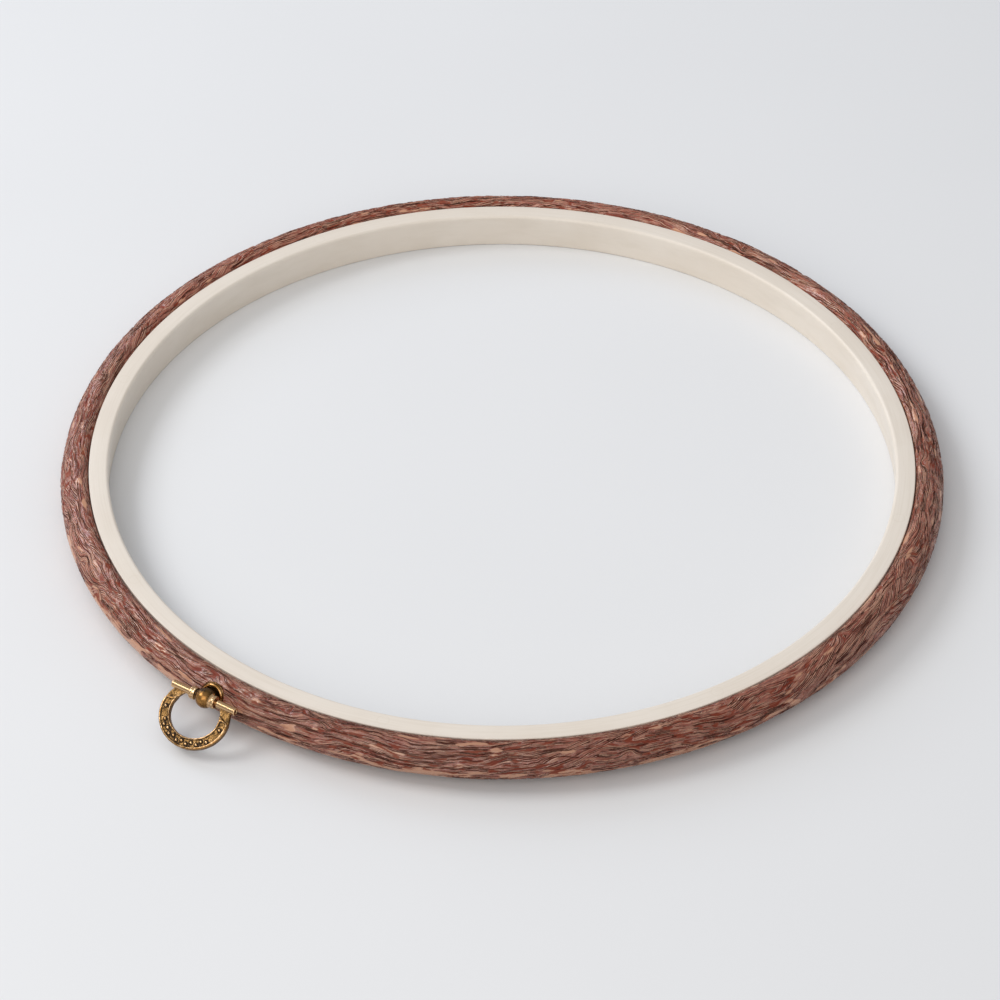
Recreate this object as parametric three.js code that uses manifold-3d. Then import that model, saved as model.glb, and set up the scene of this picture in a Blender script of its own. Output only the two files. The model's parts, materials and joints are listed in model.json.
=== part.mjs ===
// A screwless embroidery hoop that also serves as a frame: a rigid inner ring, a springy outer
// frame pushed down over it, and a small brass hanger bolted through the frame.
// Millimetres, +Z up. The hoop lies face up on a table at z = 0 with its hanger towards -Y,
// and the origin is the middle of its footprint.

import * as THREE from "three";
import { mergeVertices } from "three/addons/utils/BufferGeometryUtils.js";
import Module from "manifold-3d";

// Inner ring
const RING_WALL_RADIUS = 110; // outer wall, which the frame grips
const RING_RIM_WIDTH = 5.2; // top rim, from the outer wall to the opening
const RING_HEIGHT = 10.7;
const RING_DRAFT = 0.85; // the opening is this much wider, in radius, at the table
const RING_OPENING_EDGE = 0.9; // rounding of the rim where it meets the opening
const RING_WALL_EDGE = 0.25; // rounding of the rim where it meets the outer wall
const RING_FOOT_EDGE = 0.4;
const LIP_WIDTH = 2; // flange under the frame, beyond the outer wall
const LIP_THICKNESS = 0.8;
const LIP_EDGE = 0.25;

// Outer frame, half an ellipse in section
const WALL_GAP = 0.3; // from the ring's wall to the frame's bore
const LIP_GAP = 0.25; // from the ring's lip to the frame's underside
const FRAME_DEPTH = 7.4; // in the direction of the radius
const FRAME_HEIGHT = 11.2;
const FRAME_TOP_EDGE = 2.4; // rounding beside the rim
const FRAME_BACK_EDGE = 0.8; // rounding beside the lip

// Stud, which runs up and out through the frame
const STUD_TILT = 26; // degrees above the table
const STUD_DROP = 1.35; // where its axis leaves the bore, below the middle of the frame's height
const STUD_SKEW = 5.5; // degrees that it leans aside from the radius
const STUD_ASIDE = 0.5; // along the pin, from the sleeve's middle to the stud's axis
const SHANK_RADIUS = 1;
const SHANK_CLEARANCE = 0.1;
const SHANK_PROUD = 0.25; // beyond the nut
const STUD_EDGE = 0.1; // rounding of the shank's and the neck's ends
const BALL_RADIUS = 2.55;
const BALL_STANDOFF = 2.75; // from the frame's surface to the ball's centre
const NECK_RADIUS = 1.35;

// Sleeve through the ball, which carries the hinge pin
const SLEEVE_LENGTH = 7.4;
const SLEEVE_RADIUS = 1.65;
const SLEEVE_EDGE = 0.25;
const SLEEVE_ROOM = 0.3; // round it, inside the bail's feet
const COLLAR_LENGTH = 1.6; // of the collar at each end of the sleeve
const GROOVE_RADIUS = 1.25; // between each collar and the ball

// Flange round the stud, let into the frame
const FLANGE_RADIUS = 3.4;
const FLANGE_THICKNESS = 1.2;
const FLANGE_EDGE = 0.6;
const DISH_DEPTH = 0.6;
const DISH_FLOOR = 1.7; // radius of the dish's flat floor, on which the neck stands
const FLANGE_SEAT_DEPTH = 1; // below the frame's surface, at the stud's axis
const SEAT_CLEARANCE = 0.15;

// Washer and nut in their pocket in the frame's bore
const POCKET_DEPTH = 3.6; // along the stud's axis
const WASHER_RADIUS = 2.5;
const WASHER_THICKNESS = 0.4;
const NUT_FLATS = 4;
const NUT_THICKNESS = 1.6;
const NUT_SIDES = 6;
const STACK_GAP = 0.05; // between the frame, flange, washer and nut, each to the next

// Hinge pin
const PIN_RADIUS = 0.5;
const PIN_CLEARANCE = 0.05;
const PIN_RECESS = 0.15; // its ends, inside the barrels' ends
const PIN_EDGE = 0.1;

// Bail: two barrels on the pin and a crescent that hangs from them
const BARREL_LENGTH = 5.5;
const BARREL_RADIUS = 0.87;
const BARREL_EDGE = 0.15;
const BARREL_PLAY_LEFT = 0.1; // gap between the sleeve and each barrel, as it lies
const BARREL_PLAY_RIGHT = 0.5;
const BAIL_REACH = 13.6; // from the pin's axis to the far edge
const BAIL_WIDTH = 19.2;
const BAIL_WIDEST = 5; // distance of its widest place from the pin's axis
const BAIL_HOLE_WIDTH = 13.6;
const BAIL_HOLE_WIDEST = 4.8;
const BAIL_BAND = 2.9; // across the band at the far edge
const BAIL_THICKNESS = 1.6;
const BAIL_BEVEL = 0.3;
const FOOT_LENGTH = 3.2; // thin part, from the pin's axis to the crescent's full thickness
const FOOT_THICKNESS = 0.9;
const FACE_RIM = 0.45; // raised rim round the crescent's sunk face
const FACE_DEPTH = 0.25;
const BAIL_DROOP = 33; // degrees below level, as it lies

// Facets
const HOOP_FACETS = 120;
const SMALL_FACETS = 24;
const EDGE_STEPS = 2;
const SECTION_STEPS = 15;
const BAIL_STEPS = 28;
const WELD = 1e-4;

const UPWARD = Math.PI / 2;
const HALF_TURN = Math.PI;
const FULL_TURN = 2 * Math.PI;

const wasm = await Module();
wasm.setup();

const creamPlastic = () =>
  new THREE.MeshStandardMaterial({ color: 0xe6e0d6, roughness: 0.45, metalness: 0 });
const brownVinyl = () =>
  new THREE.MeshStandardMaterial({ color: 0x7a4a3d, roughness: 0.5, metalness: 0 });
const antiqueBrass = () =>
  new THREE.MeshStandardMaterial({ color: 0xa9833f, roughness: 0.35, metalness: 1 });
const plainSteel = () =>
  new THREE.MeshStandardMaterial({ color: 0x9a9a98, roughness: 0.4, metalness: 1 });

// Joins and cuts

/** The closed solid that a geometry's faces enclose. */
function toSolid(geometry) {
  const bare = geometry.clone();
  bare.deleteAttribute("normal");
  bare.deleteAttribute("uv");
  const welded = mergeVertices(bare, WELD);
  const mesh = new wasm.Mesh({
    numProp: 3,
    vertProperties: welded.attributes.position.array,
    triVerts: new Uint32Array(welded.index.array),
  });
  return new wasm.Manifold(mesh);
}

/** The faces of a solid, ready to be drawn. */
function toGeometry(solid) {
  const mesh = solid.getMesh();
  const geometry = new THREE.BufferGeometry();
  geometry.setAttribute("position", new THREE.BufferAttribute(mesh.vertProperties, 3));
  geometry.setIndex(new THREE.BufferAttribute(mesh.triVerts, 1));
  geometry.computeVertexNormals();
  return geometry;
}

function piece(name, geometry, material) {
  const mesh = new THREE.Mesh(geometry, material);
  mesh.name = name;
  return mesh;
}

// Sections, drawn as points (radius, height) and turned about +Z

const degrees = THREE.MathUtils.degToRad;

/** Points on an arc about (x, y), from one angle to another. */
function arc(x, y, radius, from, to, steps = EDGE_STEPS) {
  return Array.from({ length: steps + 1 }, (_, i) => {
    const angle = from + ((to - from) * i) / steps;
    return new THREE.Vector2(x + radius * Math.cos(angle), y + radius * Math.sin(angle));
  });
}

/** A closed section turned once about the +Z axis, drawn counter-clockwise. */
function turned(points, facets) {
  const closed = [...points, points[0]];
  return new THREE.LatheGeometry(closed, facets).rotateX(UPWARD);
}

/** A rod about +Z between two heights, its ends rounded by edge. */
function rod(radius, bottom, top, edge) {
  const points = [
    new THREE.Vector2(0, bottom),
    ...arc(radius - edge, bottom + edge, edge, -UPWARD, 0),
    ...arc(radius - edge, top - edge, edge, 0, UPWARD),
    new THREE.Vector2(0, top),
  ];
  return new THREE.LatheGeometry(points, SMALL_FACETS).rotateX(UPWARD);
}

/** A plain cylinder about +Z between two heights, which cuts a hole. */
function drill(radius, bottom, top) {
  const length = top - bottom;
  return new THREE.CylinderGeometry(radius, radius, length, SMALL_FACETS)
    .rotateX(UPWARD)
    .translate(0, 0, bottom + length / 2);
}

// Inner ring

function makeInnerRing() {
  const wall = RING_WALL_RADIUS;
  const opening = wall - RING_RIM_WIDTH;
  const foot = opening + RING_DRAFT;
  const lip = wall + LIP_WIDTH;
  const section = [
    ...arc(foot + RING_FOOT_EDGE, RING_FOOT_EDGE, RING_FOOT_EDGE, HALF_TURN, HALF_TURN + UPWARD),
    ...arc(lip - LIP_EDGE, LIP_EDGE, LIP_EDGE, -UPWARD, 0),
    ...arc(lip - LIP_EDGE, LIP_THICKNESS - LIP_EDGE, LIP_EDGE, 0, UPWARD),
    new THREE.Vector2(wall, LIP_THICKNESS),
    ...arc(wall - RING_WALL_EDGE, RING_HEIGHT - RING_WALL_EDGE, RING_WALL_EDGE, 0, UPWARD),
    ...arc(
      opening + RING_OPENING_EDGE,
      RING_HEIGHT - RING_OPENING_EDGE,
      RING_OPENING_EDGE,
      UPWARD,
      HALF_TURN,
      2 * EDGE_STEPS,
    ),
  ];
  return turned(section, HOOP_FACETS);
}

// Outer frame

const FRAME_BORE = RING_WALL_RADIUS + WALL_GAP;
const FRAME_MIDDLE = LIP_THICKNESS + LIP_GAP + FRAME_HEIGHT / 2;
const FRAME_HALF = FRAME_HEIGHT / 2;

/** Outward direction of the section's ellipse at an angle, as an angle. */
function sectionNormal(angle) {
  return Math.atan2(Math.sin(angle) / FRAME_HALF, Math.cos(angle) / FRAME_DEPTH);
}

/**
 * The angle on the section's ellipse where a rounding of this radius leaves it to meet the
 * bore: the rounding's centre lies one radius in from both.
 */
function edgeAngle(radius) {
  let low = 0;
  let high = UPWARD;
  while (high - low > 1e-6) {
    const angle = (low + high) / 2;
    const inset = FRAME_DEPTH * Math.cos(angle) - radius * Math.cos(sectionNormal(angle));
    if (inset > radius) low = angle;
    else high = angle;
  }
  return low;
}

/** The frame's section: its bore, two rounded edges and the bulge between them. */
function frameSection() {
  const top = edgeAngle(FRAME_TOP_EDGE);
  const back = edgeAngle(FRAME_BACK_EDGE);
  const centreHeight = (angle, radius) =>
    FRAME_HALF * Math.sin(angle) - radius * Math.sin(sectionNormal(angle));
  const bulge = Array.from({ length: SECTION_STEPS - 1 }, (_, i) => {
    const angle = -back + ((top + back) * (i + 1)) / SECTION_STEPS;
    return new THREE.Vector2(
      FRAME_BORE + FRAME_DEPTH * Math.cos(angle),
      FRAME_MIDDLE + FRAME_HALF * Math.sin(angle),
    );
  });
  return [
    ...arc(
      FRAME_BORE + FRAME_BACK_EDGE,
      FRAME_MIDDLE - centreHeight(back, FRAME_BACK_EDGE),
      FRAME_BACK_EDGE,
      HALF_TURN,
      FULL_TURN - sectionNormal(back),
    ),
    ...bulge,
    ...arc(
      FRAME_BORE + FRAME_TOP_EDGE,
      FRAME_MIDDLE + centreHeight(top, FRAME_TOP_EDGE),
      FRAME_TOP_EDGE,
      sectionNormal(top),
      HALF_TURN,
      2 * EDGE_STEPS,
    ),
  ];
}

/** Distance along the stud's axis from the frame's bore to its outer surface. */
function studReach() {
  const across = Math.cos(degrees(STUD_TILT)) / FRAME_DEPTH;
  const up = Math.sin(degrees(STUD_TILT)) / FRAME_HALF;
  const drop = STUD_DROP / FRAME_HALF;
  const square = across * across + up * up;
  const half = up * drop;
  return (half + Math.sqrt(half * half + square * (1 - drop * drop))) / square;
}

const SURFACE = studReach();
const FLANGE_SEAT = SURFACE - FLANGE_SEAT_DEPTH;
const BALL_CENTRE = SURFACE + BALL_STANDOFF;

/** A group whose origin is where the stud's axis leaves the bore, with +Z along the stud. */
function studFrame() {
  const group = new THREE.Group();
  const skew = degrees(STUD_SKEW);
  const aside = new THREE.Vector2(STUD_ASIDE, 0).rotateAround(new THREE.Vector2(), skew);
  group.position.set(aside.x, aside.y - FRAME_BORE, FRAME_MIDDLE - STUD_DROP);
  group.rotation.set(UPWARD - degrees(STUD_TILT), 0, skew, "ZXY");
  group.updateMatrix();
  return group;
}

function makeOuterFrame() {
  const place = studFrame().matrix;
  const beyond = BALL_CENTRE + BALL_RADIUS;
  const hole = drill(SHANK_RADIUS + SHANK_CLEARANCE, -FRAME_DEPTH, beyond);
  const seat = drill(FLANGE_RADIUS + SEAT_CLEARANCE, FLANGE_SEAT, beyond);
  const pocket = drill(WASHER_RADIUS + SEAT_CLEARANCE, -FRAME_DEPTH, POCKET_DEPTH);
  const cuts = [hole, seat, pocket].map((cut) => toSolid(cut.applyMatrix4(place)));
  const body = toSolid(turned(frameSection(), HOOP_FACETS));
  return toGeometry(cuts.reduce((rest, cut) => rest.subtract(cut), body));
}

// Hanger pieces, each about the stud's axis

const WASHER_TOP = POCKET_DEPTH - STACK_GAP;
const NUT_TOP = WASHER_TOP - WASHER_THICKNESS - STACK_GAP;
const NUT_BOTTOM = NUT_TOP - NUT_THICKNESS;
const FLANGE_BOTTOM = FLANGE_SEAT + STACK_GAP;
const FLANGE_TOP = FLANGE_BOTTOM + FLANGE_THICKNESS;
const FLANGE_FLOOR = FLANGE_TOP - DISH_DEPTH;
const SHANK_HOLE = SHANK_RADIUS + SHANK_CLEARANCE;

function makeFlange() {
  const section = [
    new THREE.Vector2(SHANK_HOLE, FLANGE_BOTTOM),
    new THREE.Vector2(FLANGE_RADIUS, FLANGE_BOTTOM),
    ...arc(FLANGE_RADIUS - FLANGE_EDGE, FLANGE_TOP - FLANGE_EDGE, FLANGE_EDGE, 0, HALF_TURN),
    new THREE.Vector2(DISH_FLOOR, FLANGE_FLOOR),
    new THREE.Vector2(SHANK_HOLE, FLANGE_FLOOR),
  ];
  return turned(section, SMALL_FACETS);
}

/** The sleeve about +Z: two collars, with a groove between each and the ball. */
function makeSleeve() {
  const half = SLEEVE_LENGTH / 2;
  const shoulder = half - COLLAR_LENGTH;
  const right = [
    new THREE.Vector2(GROOVE_RADIUS, shoulder),
    new THREE.Vector2(SLEEVE_RADIUS, shoulder),
    ...arc(SLEEVE_RADIUS - SLEEVE_EDGE, half - SLEEVE_EDGE, SLEEVE_EDGE, 0, UPWARD),
    new THREE.Vector2(0, half),
  ];
  const left = right.map((point) => new THREE.Vector2(point.x, -point.y)).reverse();
  return new THREE.LatheGeometry([...left, ...right], SMALL_FACETS).rotateX(UPWARD);
}

function makeStud() {
  const shank = rod(SHANK_RADIUS, NUT_BOTTOM - SHANK_PROUD, BALL_CENTRE, STUD_EDGE);
  const neck = rod(NECK_RADIUS, FLANGE_FLOOR + STACK_GAP, BALL_CENTRE, STUD_EDGE);
  const ball = new THREE.SphereGeometry(BALL_RADIUS, SMALL_FACETS, SMALL_FACETS / 2)
    .rotateX(UPWARD)
    .translate(0, 0, BALL_CENTRE);
  const sleeve = makeSleeve();
  const bore = drill(PIN_RADIUS + PIN_CLEARANCE, -SLEEVE_LENGTH, SLEEVE_LENGTH);
  const [crossSleeve, crossBore] = [sleeve, bore].map((shape) =>
    toSolid(shape.rotateY(UPWARD).translate(-STUD_ASIDE, 0, BALL_CENTRE)),
  );
  const joined = [shank, neck, ball].map(toSolid).reduce((sum, part) => sum.add(part), crossSleeve);
  return toGeometry(joined.subtract(crossBore));
}

function makeWasher() {
  const bottom = WASHER_TOP - WASHER_THICKNESS;
  const section = [
    new THREE.Vector2(SHANK_HOLE, bottom),
    new THREE.Vector2(WASHER_RADIUS, bottom),
    new THREE.Vector2(WASHER_RADIUS, WASHER_TOP),
    new THREE.Vector2(SHANK_HOLE, WASHER_TOP),
  ];
  return turned(section, SMALL_FACETS);
}

function makeNut() {
  const corner = NUT_FLATS / 2 / Math.cos(HALF_TURN / NUT_SIDES);
  const block = new THREE.CylinderGeometry(corner, corner, NUT_THICKNESS, NUT_SIDES)
    .rotateX(UPWARD)
    .translate(0, 0, NUT_BOTTOM + NUT_THICKNESS / 2);
  const hole = drill(SHANK_HOLE, NUT_BOTTOM - NUT_THICKNESS, NUT_TOP + NUT_THICKNESS);
  return toGeometry(toSolid(block).subtract(toSolid(hole)));
}

// Pin and bail, about the pin's axis along X, with the ball's centre at the origin

const BARREL_START_RIGHT = SLEEVE_LENGTH / 2 + BARREL_PLAY_RIGHT;
const BARREL_START_LEFT = SLEEVE_LENGTH / 2 + BARREL_PLAY_LEFT;
const BAIL_SHIFT = (BARREL_START_RIGHT - BARREL_START_LEFT) / 2;
const BARREL_START = (BARREL_START_RIGHT + BARREL_START_LEFT) / 2;
const BARREL_END = BARREL_START + BARREL_LENGTH;

function makePin() {
  const half = BARREL_END - PIN_RECESS;
  return rod(PIN_RADIUS, -half, half, PIN_EDGE).rotateY(UPWARD).translate(BAIL_SHIFT, 0, 0);
}

/**
 * Points on an ellipse that hangs below the pin's axis, from its right end to its left. It
 * starts and ends at a given distance from the axis.
 */
function crescentEdge(halfWidth, reach, widest, from = 0) {
  const halfDepth = reach - widest;
  const start = Math.asin((widest - from) / halfDepth);
  return Array.from({ length: BAIL_STEPS + 1 }, (_, i) => {
    const angle = start - ((HALF_TURN + 2 * start) * i) / BAIL_STEPS;
    return new THREE.Vector2(
      halfWidth * Math.cos(angle),
      halfDepth * Math.sin(angle) - widest,
    );
  });
}

/**
 * The crescent as it hangs: an outer ellipse and a smaller one within, down to two feet. With
 * an inset it is the face inside a rim of that width.
 */
function crescentShape(inset = 0, from = 0) {
  const hole = BAIL_REACH - BAIL_BAND;
  const outer = crescentEdge(BAIL_WIDTH / 2 - inset, BAIL_REACH - inset, BAIL_WIDEST, from);
  const inner = crescentEdge(BAIL_HOLE_WIDTH / 2 + inset, hole + inset, BAIL_HOLE_WIDEST, from);
  return new THREE.Shape([...outer, ...inner.reverse()]);
}

/** What is taken off the crescent: its sunk face, and both sides of its thin feet. */
function crescentCuts() {
  const sunk = crescentShape(FACE_RIM, FOOT_LENGTH + FACE_RIM);
  const face = new THREE.ExtrudeGeometry(sunk, { depth: BAIL_THICKNESS, bevelEnabled: false })
    .translate(0, 0, BAIL_THICKNESS / 2 - FACE_DEPTH)
    .rotateX(-UPWARD);
  const feet = [-1, 1].map((side) =>
    new THREE.BoxGeometry(2 * BAIL_WIDTH, BAIL_THICKNESS, 2 * FOOT_LENGTH).translate(
      0,
      (side * (FOOT_THICKNESS + BAIL_THICKNESS)) / 2,
      0,
    ),
  );
  return [face, ...feet].map(toSolid);
}

/** The bail in the plane through its pin, reaching along +Z with its face towards +Y. */
function makeBail() {
  const crescent = new THREE.ExtrudeGeometry(crescentShape(), {
    depth: BAIL_THICKNESS - 2 * BAIL_BEVEL,
    bevelThickness: BAIL_BEVEL,
    bevelSize: BAIL_BEVEL,
    bevelOffset: -BAIL_BEVEL,
    bevelSegments: 2,
  })
    .translate(0, 0, BAIL_BEVEL - BAIL_THICKNESS / 2)
    .rotateX(-UPWARD);
  const bore = drill(PIN_RADIUS + PIN_CLEARANCE, -BAIL_WIDTH, BAIL_WIDTH);
  const room = drill(SLEEVE_RADIUS + SLEEVE_ROOM, -BARREL_START, BARREL_START);
  const cuts = [bore, room].map((cut) => toSolid(cut.rotateY(UPWARD)));
  const barrels = [-BARREL_END, BARREL_START].map((start) =>
    toSolid(
      rod(BARREL_RADIUS, start, start + BARREL_LENGTH, BARREL_EDGE).rotateY(UPWARD),
    ),
  );
  const plate = crescentCuts().reduce((rest, next) => rest.subtract(next), toSolid(crescent));
  const joined = barrels.reduce((sum, barrel) => sum.add(barrel), plate);
  const cut = cuts.reduce((rest, next) => rest.subtract(next), joined);
  return toGeometry(cut).translate(BAIL_SHIFT, 0, 0);
}

// Assembly

const hoop = new THREE.Group();
hoop.add(piece("inner_ring", makeInnerRing(), creamPlastic()));
hoop.add(piece("outer_frame", makeOuterFrame(), brownVinyl()));

const stud = studFrame();
hoop.add(stud);
stud.add(piece("hanger_flange", makeFlange(), antiqueBrass()));
stud.add(piece("stud_washer", makeWasher(), plainSteel()));
stud.add(piece("stud_nut", makeNut(), plainSteel()));

stud.add(piece("ball_stud", makeStud(), antiqueBrass()));

const swing = new THREE.Group();
swing.position.set(-STUD_ASIDE, 0, BALL_CENTRE);
swing.rotation.x = degrees(STUD_TILT + BAIL_DROOP);
stud.add(swing);
swing.add(piece("hinge_pin", makePin(), antiqueBrass()));
swing.add(piece("bail", makeBail(), antiqueBrass()));

// The hanger makes the footprint longer on one side, so the ring's centre moves off the origin.
const footprint = new THREE.Box3().setFromObject(hoop, true);
hoop.position.y = -(footprint.min.y + footprint.max.y) / 2;

export default hoop;
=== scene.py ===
"""A screwless embroidery hoop, dressed for its picture.

The hoop lies face up on a table. A cream plastic ring stands in the middle, a springy frame with
the look of burl wood grips it from outside, and a small antiqued brass hanger is bolted through
the frame. Sizes are in millimetres, and meshes are scaled to metres when they are placed.
"""

import json
import logging
import math
from abc import ABC, abstractmethod
from collections.abc import Callable, Sequence
from dataclasses import dataclass, field
from enum import Enum
from typing import NamedTuple

import bmesh
import bpy
import numpy as np
from mathutils import Matrix, Vector


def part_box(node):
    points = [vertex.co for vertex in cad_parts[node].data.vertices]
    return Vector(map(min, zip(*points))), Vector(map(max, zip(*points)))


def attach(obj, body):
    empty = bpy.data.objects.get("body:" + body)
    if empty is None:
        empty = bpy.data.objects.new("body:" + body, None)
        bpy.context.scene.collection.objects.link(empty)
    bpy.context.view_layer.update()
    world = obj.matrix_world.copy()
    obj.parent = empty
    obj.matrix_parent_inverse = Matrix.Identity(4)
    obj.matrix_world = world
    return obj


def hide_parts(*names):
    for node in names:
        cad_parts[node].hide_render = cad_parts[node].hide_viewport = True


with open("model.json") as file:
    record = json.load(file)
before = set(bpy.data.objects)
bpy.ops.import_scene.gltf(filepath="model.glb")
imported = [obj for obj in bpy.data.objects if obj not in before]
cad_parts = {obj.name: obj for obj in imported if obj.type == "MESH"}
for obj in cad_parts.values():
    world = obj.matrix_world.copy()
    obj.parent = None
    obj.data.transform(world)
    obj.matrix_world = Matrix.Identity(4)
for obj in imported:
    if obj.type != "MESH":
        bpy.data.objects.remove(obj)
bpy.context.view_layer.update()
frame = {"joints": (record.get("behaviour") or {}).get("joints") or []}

log = logging.getLogger("hoop")

METRES = 0.001
TURN = 2 * math.pi
LINE_PITCH = 0.4  # spacing of the burl's lines along the frame
HATCH_PITCH = 0.46  # spacing of its slanted lines
STRAND = 0.25  # width of a strand
Colour = tuple[float, float, float, float]


class Slot(Enum):
    """The record's material slots."""

    CREAM = "cream_plastic"
    BURL = "wood_look_vinyl"
    BRASS = "antique_brass"
    STEEL = "zinc_steel"


class Body(Enum):
    """The bodies that pieces ride on."""

    RING = "inner_ring"
    FRAME = "outer_frame"
    BAIL = "bail"


class Join(Enum):
    """How one closed shape is joined to another."""

    CUT = "DIFFERENCE"
    ADD = "UNION"


# Numbers


def paint(code: str) -> Colour:
    """Turns a colour written as on a paint card into the numbers a shader takes.

    Args:
        code: Six hexadecimal digits after a #.

    Returns:
        Linear red, green, blue and 1.
    """
    parts = [int(code[i : i + 2], 16) / 255 for i in (1, 3, 5)]
    linear = [p / 12.92 if p <= 0.04045 else ((p + 0.055) / 1.055) ** 2.4 for p in parts]
    return (linear[0], linear[1], linear[2], 1.0)


def ease(value: np.ndarray, low: float, high: float) -> np.ndarray:
    """Rises smoothly from 0 at one value to 1 at another.

    Args:
        value: Numbers to read.
        low: Where the rise starts.
        high: Where it ends.

    Returns:
        Numbers from 0 to 1.
    """
    share = np.clip((value - low) / (high - low), 0, 1)
    return share * share * (3 - 2 * share)


def run_along(points: np.ndarray) -> np.ndarray:
    """Returns how far along a drawn line each of its points lies."""
    steps = np.linalg.norm(np.diff(points, axis=0), axis=1)
    return np.concatenate([[0], np.cumsum(steps)])


class Lattice:
    """Smooth noise from seeded slopes on a lattice of points."""

    SIZE = 256

    def __init__(self, seed: int) -> None:
        """Draws the slopes.

        Args:
            seed: Start of the random draws.
        """
        rng = np.random.default_rng(seed)
        self.order = rng.permutation(self.SIZE)
        slopes = rng.normal(size=(self.SIZE, 3))
        self.slopes = slopes / np.linalg.norm(slopes, axis=1)[:, None]

    def at(self, points: np.ndarray) -> np.ndarray:
        """Reads the noise.

        Args:
            points: Places, one row each.

        Returns:
            A number for each place, mostly within -1 and 1.
        """
        cell = np.floor(points).astype(int)
        inside = points - cell
        fade = inside**3 * (inside * (inside * 6 - 15) + 10)
        total = np.zeros(len(points))
        for corner in np.ndindex(2, 2, 2):
            x, y, z = (cell + corner).T % self.SIZE
            pick = self.order[(self.order[(self.order[x] + y) % self.SIZE] + z) % self.SIZE]
            weight = np.prod(np.where(corner, fade, 1 - fade), axis=1)
            total += weight * np.einsum("ij,ij->i", self.slopes[pick], inside - corner)
        return total * 1.7


# Meshes


def mesh_of(name: str, points: np.ndarray, faces: np.ndarray) -> bpy.types.Mesh:
    """Makes a mesh from arrays.

    Args:
        name: The mesh's name.
        points: Corners, one row each.
        faces: Corner numbers, one row of equal length for each face.

    Returns:
        The mesh, smooth-shaded.
    """
    mesh = bpy.data.meshes.new(name)
    mesh.vertices.add(len(points))
    mesh.vertices.foreach_set("co", points.astype(np.float32).ravel())
    mesh.loops.add(faces.size)
    mesh.loops.foreach_set("vertex_index", faces.astype(np.int32).ravel())
    mesh.polygons.add(len(faces))
    mesh.polygons.foreach_set("loop_start", np.arange(len(faces), dtype=np.int32) * faces.shape[1])
    mesh.update(calc_edges=True)
    mesh.validate()
    mesh.shade_smooth()
    return mesh


def points_of(mesh: bpy.types.Mesh) -> np.ndarray:
    """Returns a mesh's corners, one row each."""
    flat = np.empty(len(mesh.vertices) * 3, np.float32)
    mesh.vertices.foreach_get("co", flat)
    return flat.reshape(-1, 3).astype(float)


def normals_of(mesh: bpy.types.Mesh) -> np.ndarray:
    """Returns the outward directions at a mesh's corners, one row each."""
    flat = np.empty(len(mesh.vertices) * 3, np.float32)
    mesh.vertex_normals.foreach_get("vector", flat)
    return flat.reshape(-1, 3).astype(float)


def move_points(mesh: bpy.types.Mesh, points: np.ndarray) -> None:
    """Moves a mesh's corners.

    Args:
        mesh: The mesh to change.
        points: New places, one row each.
    """
    mesh.vertices.foreach_set("co", points.astype(np.float32).ravel())
    mesh.update()


def write_field(mesh: bpy.types.Mesh, name: str, values: np.ndarray) -> None:
    """Stores one number, or one vector, at each corner for the finish to read.

    Args:
        mesh: The mesh that carries the field.
        name: The field's name.
        values: One number or one row for each corner.
    """
    kind, key = ("FLOAT", "value") if values.ndim == 1 else ("FLOAT_VECTOR", "vector")
    layer = mesh.attributes.new(name, kind, "POINT")
    layer.data.foreach_set(key, values.astype(np.float32).ravel())


def merge_doubles(mesh: bpy.types.Mesh, reach: float = 1e-4) -> None:
    """Merges corners that lie on each other and turns every face outwards.

    Args:
        mesh: The mesh to change.
        reach: How near two corners lie to count as one.
    """
    work = bmesh.new()
    work.from_mesh(mesh)
    bmesh.ops.remove_doubles(work, verts=work.verts, dist=reach)
    bmesh.ops.recalc_face_normals(work, faces=work.faces)
    work.to_mesh(mesh)
    work.free()


def evaluated(mesh: bpy.types.Mesh, modifier: str, **settings: object) -> bpy.types.Mesh:
    """Runs one modifier on a mesh.

    Args:
        mesh: The mesh to start from, which is used up.
        modifier: The modifier's kind.
        **settings: Its settings.

    Returns:
        The new mesh.
    """
    holder = bpy.data.objects.new("holder", mesh)
    bpy.context.scene.collection.objects.link(holder)
    step = holder.modifiers.new("step", modifier)
    for name, value in settings.items():
        setattr(step, name, value)
    graph = bpy.context.evaluated_depsgraph_get()
    made = bpy.data.meshes.new_from_object(holder.evaluated_get(graph))
    bpy.data.objects.remove(holder)
    bpy.data.meshes.remove(mesh)
    made.shade_smooth()
    return made


def joined(
    mesh: bpy.types.Mesh, other: bpy.types.Mesh, how: Join, solver: str = "EXACT"
) -> bpy.types.Mesh:
    """Cuts one closed shape from another, or adds it.

    Args:
        mesh: The shape to change, which is used up.
        other: The shape that cuts it or is added, which is used up.
        how: Which of the two.
        solver: Which way of finding where they meet.

    Returns:
        The new mesh.
    """
    tool = bpy.data.objects.new("tool", other)
    bpy.context.scene.collection.objects.link(tool)
    tool.hide_render = True
    made = evaluated(mesh, "BOOLEAN", operation=how.value, solver=solver, object=tool)
    bpy.data.objects.remove(tool)
    bpy.data.meshes.remove(other)
    return made


def heaped(meshes: Sequence[bpy.types.Mesh]) -> bpy.types.Mesh:
    """Puts several meshes into one, without joining their surfaces.

    Args:
        meshes: The meshes, which are used up.

    Returns:
        One mesh with all their faces.
    """
    work = bmesh.new()
    for mesh in meshes:
        work.from_mesh(mesh)
        bpy.data.meshes.remove(mesh)
    made = bpy.data.meshes.new("heap")
    work.to_mesh(made)
    work.free()
    return made


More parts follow.
